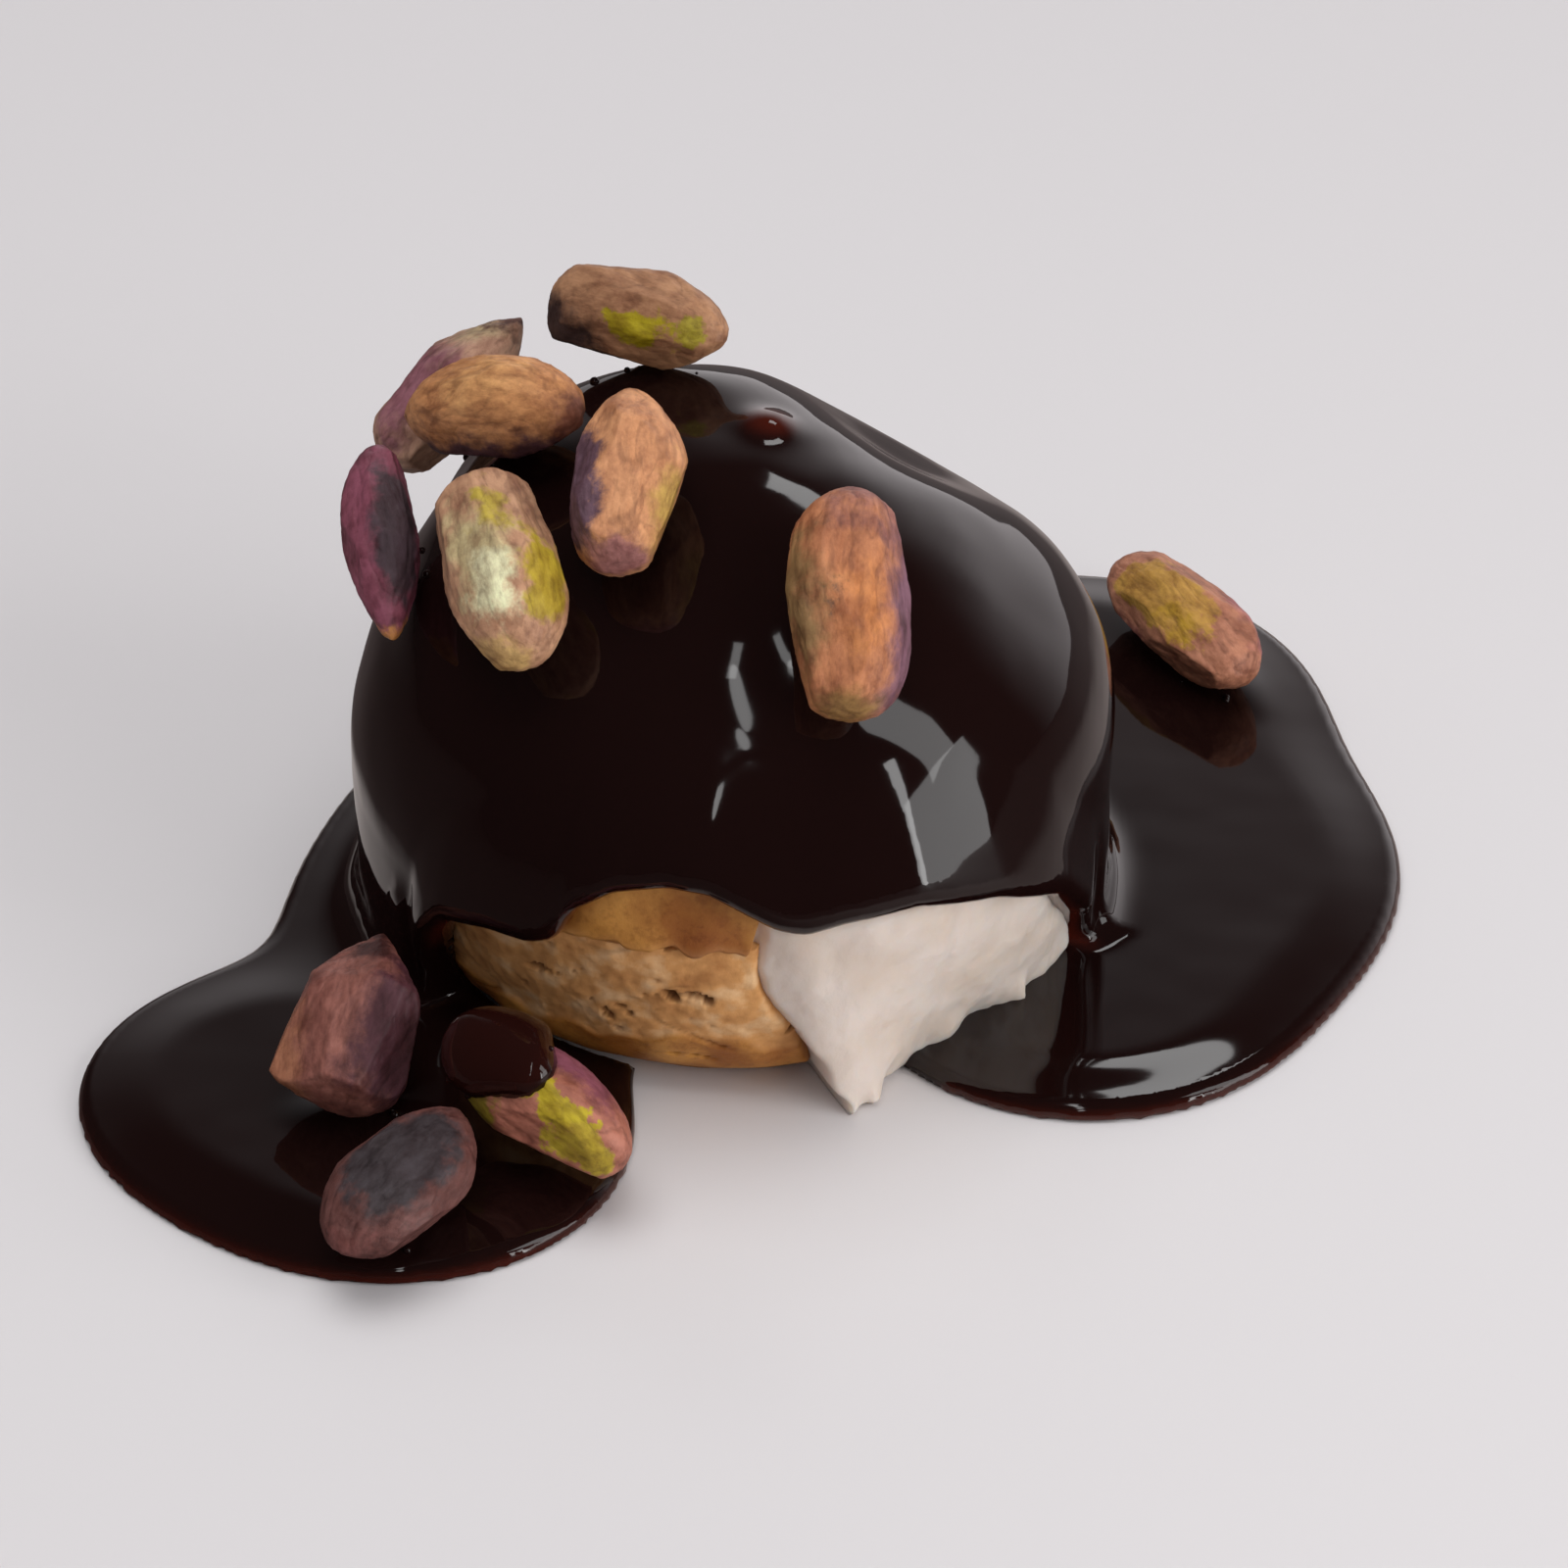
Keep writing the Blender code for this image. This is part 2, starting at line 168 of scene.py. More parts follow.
class StageSettings(bpy.types.PropertyGroup):
    floor: food_colour("Floor", "Pale floor", "DEDBDC")
    width: length_mm("Picture width", "Width that the camera takes in, mm", 104.0)


# ---------------- numbers


def smooth(value):
    """Eased 0 to 1 step."""
    t = np.clip(value, 0.0, 1.0)
    return t * t * (3.0 - 2.0 * t)


def wrap(azimuth):
    """Azimuth brought between -180 and 180."""
    return (azimuth + 180.0) % 360.0 - 180.0


def along(azimuth, stops):
    """Value at an azimuth of a line drawn through stops of azimuth and value, rounded a little."""
    at, value = np.array(stops).T
    return sum(np.interp(wrap(azimuth + shift), at, value) for shift in (-0.8, 0.0, 0.8)) / 3.0


def compass(points):
    """Azimuth in degrees of each point."""
    return np.degrees(np.arctan2(points[:, 1], points[:, 0]))


def blend_in(first, second, width):
    """Union of two fields with a fillet of the given width."""
    share = np.clip(0.5 + 0.5 * (second - first) / width, 0.0, 1.0)
    return second + (first - second) * share - width * share * (1.0 - share)


def round_off(first, second, radius):
    """Intersection of two fields with a rounded edge."""
    a, b = first + radius, second + radius
    return np.minimum(np.maximum(a, b), 0.0) + np.hypot(np.maximum(a, 0.0), np.maximum(b, 0.0)) - radius


def speckle(points, size, seed, octaves=1):
    """Smooth seeded noise between about -1 and 1 with lumps of the given size."""
    total, weight = 0.0, 1.0
    for octave in range(octaves):
        total = total + weight * lattice_noise(points * (2.03**octave / size), seed + 31 * octave)
        weight *= 0.5
    return total


def lattice_noise(points, seed):
    """Gradient noise on the whole-number lattice."""
    table = np.random.default_rng(seed).permutation(256)
    ways = np.random.default_rng(seed + 1).normal(size=(256, 3))
    ways /= np.linalg.norm(ways, axis=1, keepdims=True)
    cell = np.floor(points).astype(int)
    within = points - cell
    ease = within * within * within * (within * (within * 6.0 - 15.0) + 10.0)
    total = np.zeros(len(points))
    for corner in np.ndindex(2, 2, 2):
        spot = (cell + corner) & 255
        pick = table[(table[(table[spot[:, 0]] + spot[:, 1]) & 255] + spot[:, 2]) & 255]
        share = np.prod(np.where(np.array(corner), ease, 1.0 - ease), axis=1)
        total += share * np.einsum("ij,ij->i", ways[pick], within - corner)
    return 1.6 * total


def unit(azimuth, elevation):
    """Unit vectors at azimuths and elevations in degrees."""
    turn, climb = np.radians(azimuth), np.radians(elevation)
    level = np.cos(climb)
    return np.stack([np.cos(turn) * level, np.sin(turn) * level, np.sin(climb) + 0 * turn], -1)


def bun_reach(ways):
    """Distance from the waist's centre to the crust along each unit vector."""
    level, rise = np.hypot(ways[:, 0], ways[:, 1]) / BUN["radius"], ways[:, 2]
    upper, lower = (
        (level ** BUN[power] + (np.abs(rise) / BUN[tall]) ** BUN[power]) ** (-1.0 / BUN[power])
        for power, tall in (("upper", "rise"), ("lower", "drop"))
    )
    reach = np.where(rise > 0.0, upper, lower)
    for azimuth, elevation, height, spread in LUMPS:
        apart = 2.0 * (1.0 - ways @ unit(azimuth, elevation)) / math.radians(spread) ** 2
        reach = reach + height * np.exp(-apart)
    return reach


def off_bun(points):
    """Distance of each point outside the bun's crust."""
    from_waist = points - (0.0, 0.0, WAIST)
    far = np.maximum(np.linalg.norm(from_waist, axis=1), 1e-6)
    return far - bun_reach(from_waist / far[:, None])


def bun_points(azimuth, elevation, grow=0.0):
    """Points on the crust, moved outwards by grow."""
    ways = unit(azimuth, elevation)
    return (bun_reach(ways) + grow)[:, None] * ways + (0.0, 0.0, WAIST)


def bun_radius(azimuth, height):
    """Radius of the crust at azimuths and heights."""
    low, high = np.full(len(azimuth), -80.0), np.full(len(azimuth), 89.0)
    for _ in range(26):
        middle = (low + high) / 2.0
        below = bun_points(azimuth, middle)[:, 2] < height
        low, high = np.where(below, middle, low), np.where(below, high, middle)
    return np.hypot(*bun_points(azimuth, low)[:, :2].T)


# ---------------- meshes


def new_piece(name, points, faces):
    """A smooth-shaded mesh piece from points in millimetres."""
    mesh = bpy.data.meshes.new(name)
    mesh.from_pydata((np.asarray(points) * MM).tolist(), [], faces)
    mesh.validate()
    mesh.shade_smooth()
    piece = bpy.data.objects.new(name, mesh)
    bpy.context.scene.collection.objects.link(piece)
    return piece


def ring_faces(rows, columns):
    """Quads of rows of points that close round on themselves, and fans to a first and a last point."""
    row, column = np.meshgrid(np.arange(rows - 1), np.arange(columns), indexing="ij")
    here, beside = row * columns + column, row * columns + (column + 1) % columns
    quads = np.stack([here, beside, beside + columns, here + columns], -1).reshape(-1, 4)
    side = np.arange(columns)
    first, last, top = rows * columns, rows * columns + 1, (rows - 1) * columns
    under = [[first, (s + 1) % columns, s] for s in side]
    over = [[last, top + s, top + (s + 1) % columns] for s in side]
    return quads.tolist() + under + over


def skin_over(field, low, high, cell):
    """Closed mesh where the field is zero, with one point in each cell that it crosses, drawn onto it."""
    axes = [np.arange(a - 1.5 * cell, b + 2.5 * cell, cell) for a, b in zip(low, high)]
    shape = tuple(len(axis) for axis in axes)
    grid = np.stack(np.meshgrid(*axes, indexing="ij"), -1)
    value = np.concatenate([field(slab.reshape(-1, 3)) for slab in grid]).reshape(shape)
    size = np.array(shape) - 1
    corners = {c: value[tuple(slice(k, k + n) for k, n in zip(c, size))] for c in np.ndindex(2, 2, 2)}
    held = sum((corner < 0).astype(int) for corner in corners.values())
    active = np.argwhere((held > 0) & (held < 8))
    index = np.full(tuple(size), -1)
    index[tuple(active.T)] = np.arange(len(active))
    total, number = np.zeros((len(active), 3)), np.zeros(len(active))
    for start in corners:
        for axis in range(3):
            if start[axis]:
                continue
            end = tuple(1 if k == axis else start[k] for k in range(3))
            a, b = corners[start][tuple(active.T)], corners[end][tuple(active.T)]
            crossed = (a < 0) != (b < 0)
            share = np.where(crossed, a / np.where(crossed, a - b, 1.0), 0.0)
            spot = np.array(start, float) + share[:, None] * (np.array(end) - start)
            total += spot * crossed[:, None]
            number += crossed
    points = np.array([axis[0] for axis in axes]) + cell * (active + total / number[:, None])
    points = draw_onto(field, points, cell)
    faces = []
    for axis in range(3):
        after = [slice(1, n) for n in shape]
        after[axis] = slice(0, shape[axis] - 1)
        ahead = list(after)
        ahead[axis] = slice(1, shape[axis])
        a, b = value[tuple(after)] < 0, value[tuple(ahead)] < 0
        for rising in (False, True):
            spots = np.argwhere(b & ~a if rising else a & ~b)
            spots = spots + [0 if k == axis else 1 for k in range(3)]
            u, v = np.eye(3, dtype=int)[(axis + 1) % 3], np.eye(3, dtype=int)[(axis + 2) % 3]
            quad = [index[tuple((spots - shift).T)] for shift in (u + v, v, 0 * u, u)]
            faces.append(np.stack(quad[::-1] if rising else quad, -1))
    return points, np.concatenate(faces).tolist()


def slope(field, points, step):
    """Gradient of a field at points."""
    rises = [field(points + shift) - field(points - shift) for shift in step * np.eye(3)]
    return np.stack(rises, -1) / (2 * step)


def draw_onto(field, points, cell):
    """Points moved onto the field's zero surface, none further than half a cell."""
    start = points
    for _ in range(2):
        steep = slope(field, points, 0.1 * cell)
        size = np.maximum((steep**2).sum(1), 0.05)
        points = points - (field(points) / size)[:, None] * steep
    return start + np.clip(points - start, -0.5 * cell, 0.5 * cell)


def add_float(piece, name, values):
    """Store one number at each point for the material to read."""
    layer = piece.data.attributes.new(name, "FLOAT", "POINT")
    layer.data.foreach_set("value", np.asarray(values, dtype=np.float32))


# ---------------- nodes


# What many nodes share: a mix of colours, a mix that stains the first with the second, an eased range, a
# product, a number kept at the points, and the kind of node that works on vectors.
BLEND = {"data_type": "RGBA"}
STAIN = {"data_type": "RGBA", "blend_type": "MULTIPLY"}
EASED = {"interpolation_type": "SMOOTHSTEP"}
TIMES = {"operation": "MULTIPLY"}
ON_POINTS = {"data_type": "FLOAT", "domain": "POINT"}
VECTOR = "ShaderNodeVectorMath"


def add_node(tree, kind, inputs=(), stops=(), **settings):
    """Add a node with its settings, a ramp's stops, and inputs that are values or other nodes' outputs."""
    node = tree.nodes.new(kind)
    for key, value in settings.items():
        setattr(node, key, value)
    for key, value in dict(inputs).items():
        if isinstance(value, bpy.types.NodeSocket):
            tree.links.new(value, node.inputs[key])
        else:
            node.inputs[key].default_value = value
    for number, (place, colour) in enumerate(stops):
        marks = node.color_ramp.elements
        mark = marks[number] if number < len(marks) else marks.new(place)
        mark.position = place
        mark.color = rgba(colour)
    return node


def rgba(colour):
    """Colour with full opacity."""
    return (*colour, 1.0)


def hex_rgba(code):
    """Linear colour of an sRGB hex code, with full opacity."""
    return rgba(linear(code))


def new_material(name):
    """Empty node material: its tree, its shader and the object's own coordinates."""
    material = bpy.data.materials.new(name)
    material.use_nodes = True
    tree = material.node_tree
    place = add_node(tree, "ShaderNodeTexCoord").outputs["Object"]
    return material, tree, tree.nodes["Principled BSDF"], place


def lumps_of(tree, place, size_mm, detail, stretch=(1, 1, 1), rough=0.5):
    """Uneven pattern whose lumps are size_mm across, drawn out along the axes by stretch."""
    drawn = add_node(tree, "ShaderNodeMapping", {"Vector": place, "Scale": [1 / s for s in stretch]})
    inputs = {"Vector": drawn.outputs[0], "Scale": 1.0 / (size_mm * MM), "Detail": detail, "Roughness": rough}
    return add_node(tree, "ShaderNodeTexNoise", inputs).outputs["Fac"]


def relief(tree, shader, *layers):
    """Raise the finish by layers of pattern, depth in millimetres and strength, each on the one before."""
    facing = None
    for pattern, depth_mm, strength in layers:
        inputs = {"Height": pattern, "Distance": depth_mm * MM, "Strength": strength}
        if facing is not None:
            inputs["Normal"] = facing
        facing = add_node(tree, "ShaderNodeBump", inputs).outputs[0]
    tree.links.new(facing, shader.inputs["Normal"])


def pastry_material(settings):
    """Baked choux: a satin golden crust, and a matt, open crumb where it is torn, with painted shade in its
    holes.
    """
    material, tree, shader, place = new_material("Baked choux pastry")
    crumbly = add_node(tree, "ShaderNodeAttribute", attribute_name="crumb").outputs["Fac"]
    hole_and_crack_shade = add_node(tree, "ShaderNodeAttribute", attribute_name="hole_and_crack_shade").outputs["Fac"]
    patchy = lumps_of(tree, place, 5.0, 4.0)
    baked = ((0.32, settings.crust_dark), (0.46, settings.crust), (0.64, linear("CA8E44")))
    crust = add_node(tree, "ShaderNodeValToRGB", {0: patchy}, baked).outputs[0]
    freckles = ((0.35, linear("8A5222")), (0.5, linear("FFFFFF")))
    fine = lumps_of(tree, place, 0.8, 6.0, rough=0.7)
    freckles = add_node(tree, "ShaderNodeValToRGB", {0: fine}, freckles).outputs[0]
    crust = add_node(tree, "ShaderNodeMix", {0: 0.3, 6: crust, 7: freckles}, **STAIN).outputs[2]
    strands = lumps_of(tree, place, 1.9, 4.0, (1.3, 1.3, 1.0))
    torn = ((0.3, linear("B27A46")), (0.5, settings.crumb), (0.7, linear("E0B88A")))
    crumb = add_node(tree, "ShaderNodeValToRGB", {0: strands}, torn).outputs[0]
    # Painted shade: the crumb darkens towards the holes' colour where its holes and cracks are.
    hole_shading = {0: hole_and_crack_shade, 6: crumb, 7: rgba(settings.hole_shade_colour)}
    crumb = add_node(tree, "ShaderNodeMix", hole_shading, **BLEND).outputs[2]
    tone = add_node(tree, "ShaderNodeMix", {0: crumbly, 6: crust, 7: crumb}, **BLEND).outputs[2]
    tree.links.new(tone, shader.inputs["Base Color"])
    grain = lumps_of(tree, place, 0.45, 5.0, rough=0.7)
    relief(tree, shader, (grain, 0.10, 0.6), (patchy, 0.25, 0.5))
    dull = add_node(tree, "ShaderNodeMapRange", {"Value": crumbly, "To Min": 0.46, "To Max": 0.8})
    tree.links.new(dull.outputs[0], shader.inputs["Roughness"])
    shader.inputs["Specular IOR Level"].default_value = 0.35
    return material


def cream_material(settings):
    """Whipped cream: dense and milky, so light goes a little way in, with a soft wet sheen and grains."""
    material, tree, shader, place = new_material("Whipped cream")
    cloud = lumps_of(tree, place, 4.5, 3.0)
    clouded = ((0.35, linear("D4C4B6")), (0.62, settings.colour))
    tone = add_node(tree, "ShaderNodeValToRGB", {0: cloud}, clouded).outputs[0]
    tree.links.new(tone, shader.inputs["Base Color"])
    shader.inputs["Roughness"].default_value = 0.38
    shader.inputs["Subsurface Weight"].default_value = 0.6
    shader.inputs["Subsurface Radius"].default_value = (1.0, 0.7, 0.5)
    shader.inputs["Subsurface Scale"].default_value = 2.2 * MM
    relief(tree, shader, (lumps_of(tree, place, 0.5, 4.0, rough=0.6), 0.09, 0.5))
    return material


def sauce_material(settings):
    """Chocolate sauce: almost black where it is deep, red-brown where it is thin, glossy as wet glass."""
    material, tree, shader, place = new_material("Dark chocolate sauce")
    thin = add_node(tree, "ShaderNodeAttribute", attribute_name="thin").outputs["Fac"]
    shades = {0: thin, 6: rgba(settings.colour), 7: rgba(settings.thin)}
    colour = add_node(tree, "ShaderNodeMix", shades, **BLEND).outputs[2]
    tree.links.new(colour, shader.inputs["Base Color"])
    shader.inputs["Roughness"].default_value = 0.05
    shader.inputs["IOR"].default_value = 1.46
    relief(tree, shader, (lumps_of(tree, place, 7.0, 1.0), 0.12, 0.5))
    return material


# ---------------- pastry


def fine_azimuths(start, end):
    """Azimuths all the way round, half a degree apart between start and end and six degrees elsewhere."""
    return np.concatenate([np.arange(start, end, 0.5), np.arange(end, start + 360.0, 6.0)])


def column_mesh(rows):
    """Points and faces of rows of points, closed by the middles of the first row and the last."""
    count, columns = rows.shape[:2]
    middle = [rows[0].mean(0) * (0, 0, 1), rows[-1].mean(0) * (0, 0, 1)]
    return np.concatenate([rows.reshape(-1, 3), middle]), ring_faces(count, columns)


def cream_cover(points):
    """1 where the slumped cream lies over the base, 0 where the pastry is bare, with a ragged edge."""
    turn, height = wrap(compass(points)), points[:, 2]
    start = -86.5 + 11.5 * smooth(1.0 - height / 12.0) + 2.0 * speckle(points, 3.8, 61, 2)
    return smooth((turn - start) / 3.0) * smooth((8.0 - turn) / 6.0)


def window_share(azimuth):
    """1 where the pastry shows under the coat, 0 elsewhere."""
    turn = wrap(azimuth)
    return smooth((turn - WINDOW[0]) / 6.0) * smooth((WINDOW[1] - turn) / 6.0)


def crumb_holes(points, depth):
    """How deep the crumb's holes are at points: flat slots that baked steam left."""
    slots = speckle(points * (0.45, 0.45, 1.0), 1.7, 4) + 0.4 * speckle(points, 0.9, 9, 2)
    pits = speckle(points * (0.8, 0.8, 1.2), 0.7, 17)
    return depth * (1.3 * smooth((slots - 0.62) / 0.2) + 0.3 * smooth((pits - 0.62) / 0.2))


def make_base(settings):
    """The bun's lower half: smooth baked underside, torn open crumb above it."""
    azimuths = fine_azimuths(WINDOW[0], WINDOW[1] + 2.0)
    ways, window = unit(azimuths, 0.0), window_share(azimuths)
    rows, crumb, hole_and_crack_shade = [], [], []
    for height in (0.0, 0.12, 0.4, *np.arange(0.75, SPLIT, 0.2), SPLIT):
        radius = bun_radius(azimuths, np.full(len(azimuths), height))
        radius -= 1.3 * (1.0 - smooth(height / 3.2)) ** 2 - 0.25
        spots = ways * radius[:, None] + (0, 0, height)
        torn_from = 4.4 + 1.3 * speckle(spots, 5.0, 2, 2)
        torn = window * smooth((height - torn_from) / 0.7)
        holes = crumb_holes(spots, settings.crumb_depth) * torn
        rough = 0.09 * speckle(spots, 0.8, 6, 3) * torn + 0.30 * speckle(spots, 3.6, 8) * window
        rough -= 1.5 * cream_cover(spots)
        level_lines = np.abs(speckle(spots * (0.25, 0.25, 1.0), 2.6, 12))
        cracks = window * smooth(1.0 - level_lines / 0.05) * smooth(height / 1.5)
        cracks *= 0.4 * smooth((speckle(spots, 8.0, 77) - 0.15) / 0.2)
        radius = radius - 0.25 * torn - holes + rough - cracks * (1 - torn)
        rows.append(ways * radius[:, None] + (0, 0, height))
        crumb.append(torn)
        # How deep the holes and cracks are, kept for the painted shade in them.
        hole_and_crack_shade.append(np.clip(holes / settings.crumb_depth + cracks, 0, 1) * window)
    rows.append(rows[-1] * (0.8, 0.8, 1.0))
    piece = new_piece("lower_bun", *column_mesh(np.array(rows)))
    add_float(piece, "crumb", np.concatenate([*crumb, crumb[-1], [0, 0]]))
    add_float(piece, "hole_and_crack_shade", np.concatenate([*hole_and_crack_shade, hole_and_crack_shade[-1], [0, 0]]))
    return piece


def make_top(settings):
    """The bun's upper half: a shell of golden crust with a broken lower edge."""
    azimuths = fine_azimuths(WINDOW[0], WINDOW[1] + 2.0)
    window = window_share(azimuths)
    edge = SPLIT - 0.1 + window * 0.9 * speckle(unit(azimuths, 0.0) * 24.0, 3.2, 21, 3)
    edge += 3.5 * smooth((wrap(azimuths) + 87.5) / 3.0) * window
    start = np.degrees(np.arctan2(edge - WAIST, 24.0))
    rows, crumb = [], []
    for share in np.concatenate([np.linspace(0, 0.22, 34), np.linspace(0.25, 1.0, 22)]):
        elevation = start + (87.0 - start) * share
        spots = bun_points(azimuths, elevation)
        proud = settings.crust_step * window * smooth(1.0 - share / 0.5)
        puff = 0.25 * speckle(spots, 4.5, 5, 2) * window
        rows.append(spots + unit(azimuths, elevation) * (proud + puff)[:, None])
        crumb.append(0.25 * window * smooth(1.0 - share / 0.02))
    broken = [rows[0] * (0.85, 0.85, 1.0) + (0, 0, 0.4), rows[0] * (0.965, 0.965, 1.0) + (0, 0, 0.15)]
    piece = new_piece("upper_bun", *column_mesh(np.array(broken + rows)))
    add_float(piece, "crumb", np.concatenate([np.ones(2 * len(azimuths)), *crumb, [0, 0]]))
    add_float(piece, "hole_and_crack_shade", np.zeros(len(piece.data.vertices)))
    return piece


# ---------------- cream


def make_cream(settings):
    """The cream: a layer inside the bun that slumps out over the base and ends in a ragged foot."""
    azimuths = fine_azimuths(-97.0, 8.0)
    turn, ways = wrap(azimuths), unit(azimuths, 0.0)
    share = smooth((turn + 96.0) / 8.0) * smooth((8.0 - turn) / 8.0)
    inside, under = CREAM["radius"], CREAM["under"]
    teeth = 0.5 * speckle(ways * 24.0, 2.1, 57, 2)
    foot = inside + (along(azimuths, CREAM_FOOT) + teeth - inside) * share
    shifts = np.arange(-4.5, 5.0, 1.5)
    calm = np.mean([inside + (along(azimuths + shift, CREAM_FOOT) - inside) * share for shift in shifts], 0)
    bare = 1.9 * smooth((turn + 66.0) / 6.0)
    ragged = 1.1 - 0.3 * smooth((turn + 65.0) / 5.0)
    inner = inside - 1.4 * share
    belly = inside + (CREAM["belly"] - inside) * share - 1.2 * share * smooth((-76.0 - turn) / 12.0)
    floor = under * (1.0 - share)
    ceiling = CREAM["top"] + 4.0 * share
    flat = under + 0 * inner
    hidden = [(0.55 * inner, flat), (inner - 1.0, flat), (inner, 0.5 * (floor + under)), (inner, floor)]
    rows = [ways * radius[:, None] + (0, 0, 1) * height[:, None] for radius, height in hidden]
    for step in np.linspace(0, 1, 74):
        height = floor + (ceiling - floor) * step
        bulge = np.sin(np.pi * min(1.0, step / 0.9) / 2.0) ** 0.8
        low = calm + ragged * (foot - calm) * np.exp(-((np.maximum(height - bare, 0.0) / 1.3) ** 2))
        radius = low + (belly - low) * bulge - 1.6 * share * smooth((step - 0.86) / 0.14) ** 2
        radius -= 0.5 * share * (1.0 - smooth(height / 0.5)) * (foot - inside) / 6.0
        spots = ways * radius[:, None] + (0, 0, 1) * height[:, None]
        lumps = settings.lumpiness * speckle(spots, 5.0, 40, 2) + 0.05 * speckle(spots, 0.9, 43, 2)
        fold = 0.16 * np.exp(-(((turn + 56.0 - 0.3 * height) / 1.4) ** 2))
        radius = radius + share * (lumps - fold * smooth(step / 0.3) * smooth((1.0 - step) / 0.3))
        held = np.minimum(radius, bun_radius(azimuths, height) - 1.2)
        radius = held + (radius - held) * cream_cover(spots)
        rows.append(ways * radius[:, None] + (0, 0, 1) * height[:, None])
    rows.append(ways * 11.0 + (0, 0, 13.0))
    return new_piece("whipped_cream", *column_mesh(np.array(rows)))


# ---------------- kernels

# Kernels on the coat: azimuth, elevation, heading, tilt, lean, lift, length, width and thickness.
ON_COAT = (
    (-65.5, 47, -113, 0, 0, 0.0, 16.0, 8.2, 7.4),
    (-135, 68, -50, 0, 0, 0.0, 15.0, 7.5, 7.0),
    (-143, 45, -31, 2, 0, 0.0, 15.2, 8.0, 7.2),
    (-172, 35, -11, -10, 70, 0.5, 17.4, 5.4, 5.0),
    (163.5, 52.5, 69, -2, 0, 0.0, 15.6, 7.6, 7.0),
    (117, 60, 118, -8, 0, 0.0, 14.0, 7.4, 7.0),
    (143, 38, 138, 4, 0, 0.4, 13.2, 7.2, 6.6),
)

# Kernels in the pool: middle, heading, tilt, length, width and thickness.
IN_POOL = (
    (-12.0, -30.0, -42, 14, 14.6, 7.0, 6.4),
    (-24.2, -21.8, -102, 16, 13.8, 9.0, 7.2),
    (-20.8, -37.2, -118, 5, 14.6, 8.6, 5.4),
    (31.8, 28.4, -62, 0, 16.6, 7.4, 5.8),
)

# Which of all the kernels, counted from 0, has sauce over its back end, and the round spots that make this
# cap: middle, from the kernel's own and along its axes, and radius.
SAUCED = 7
CAP_SPOTS = (((-4.6, -0.7, 2.3), 4.0), ((-0.6, -1.2, 2.6), 1.4))

# Form of each kernel: how pointed its front and its back are from -1, blunt, to 1, its taper to the front,
# the height and the side of its ridge, and its bend.
KERNEL_FORMS = (
    (-0.9, -0.7, -0.04, 0.03, 95, 0.05),
    (-0.6, 0.6, -0.08, 0.09, 105, 0.05),
    (-0.3, -0.8, 0.04, 0.04, 80, 0.10),
    (0.7, 0.2, 0.05, 0.05, -60, 0.05),
    (-0.1, 0.8, -0.04, 0.05, 100, 0.14),
    (0.3, -0.4, 0.08, 0.07, 110, 0.12),
    (0.8, 0.0, 0.12, 0.05, 60, 0.05),
    (0.0, 0.0, 0.00, 0.04, 90, 0.06),
    (-0.8, 1.0, -0.26, 0.12, 52, 0.00),
    (0.4, 0.5, -0.04, 0.03, 90, 0.02),
    (-0.5, 0.1, -0.05, 0.05, 60, 0.00),
)

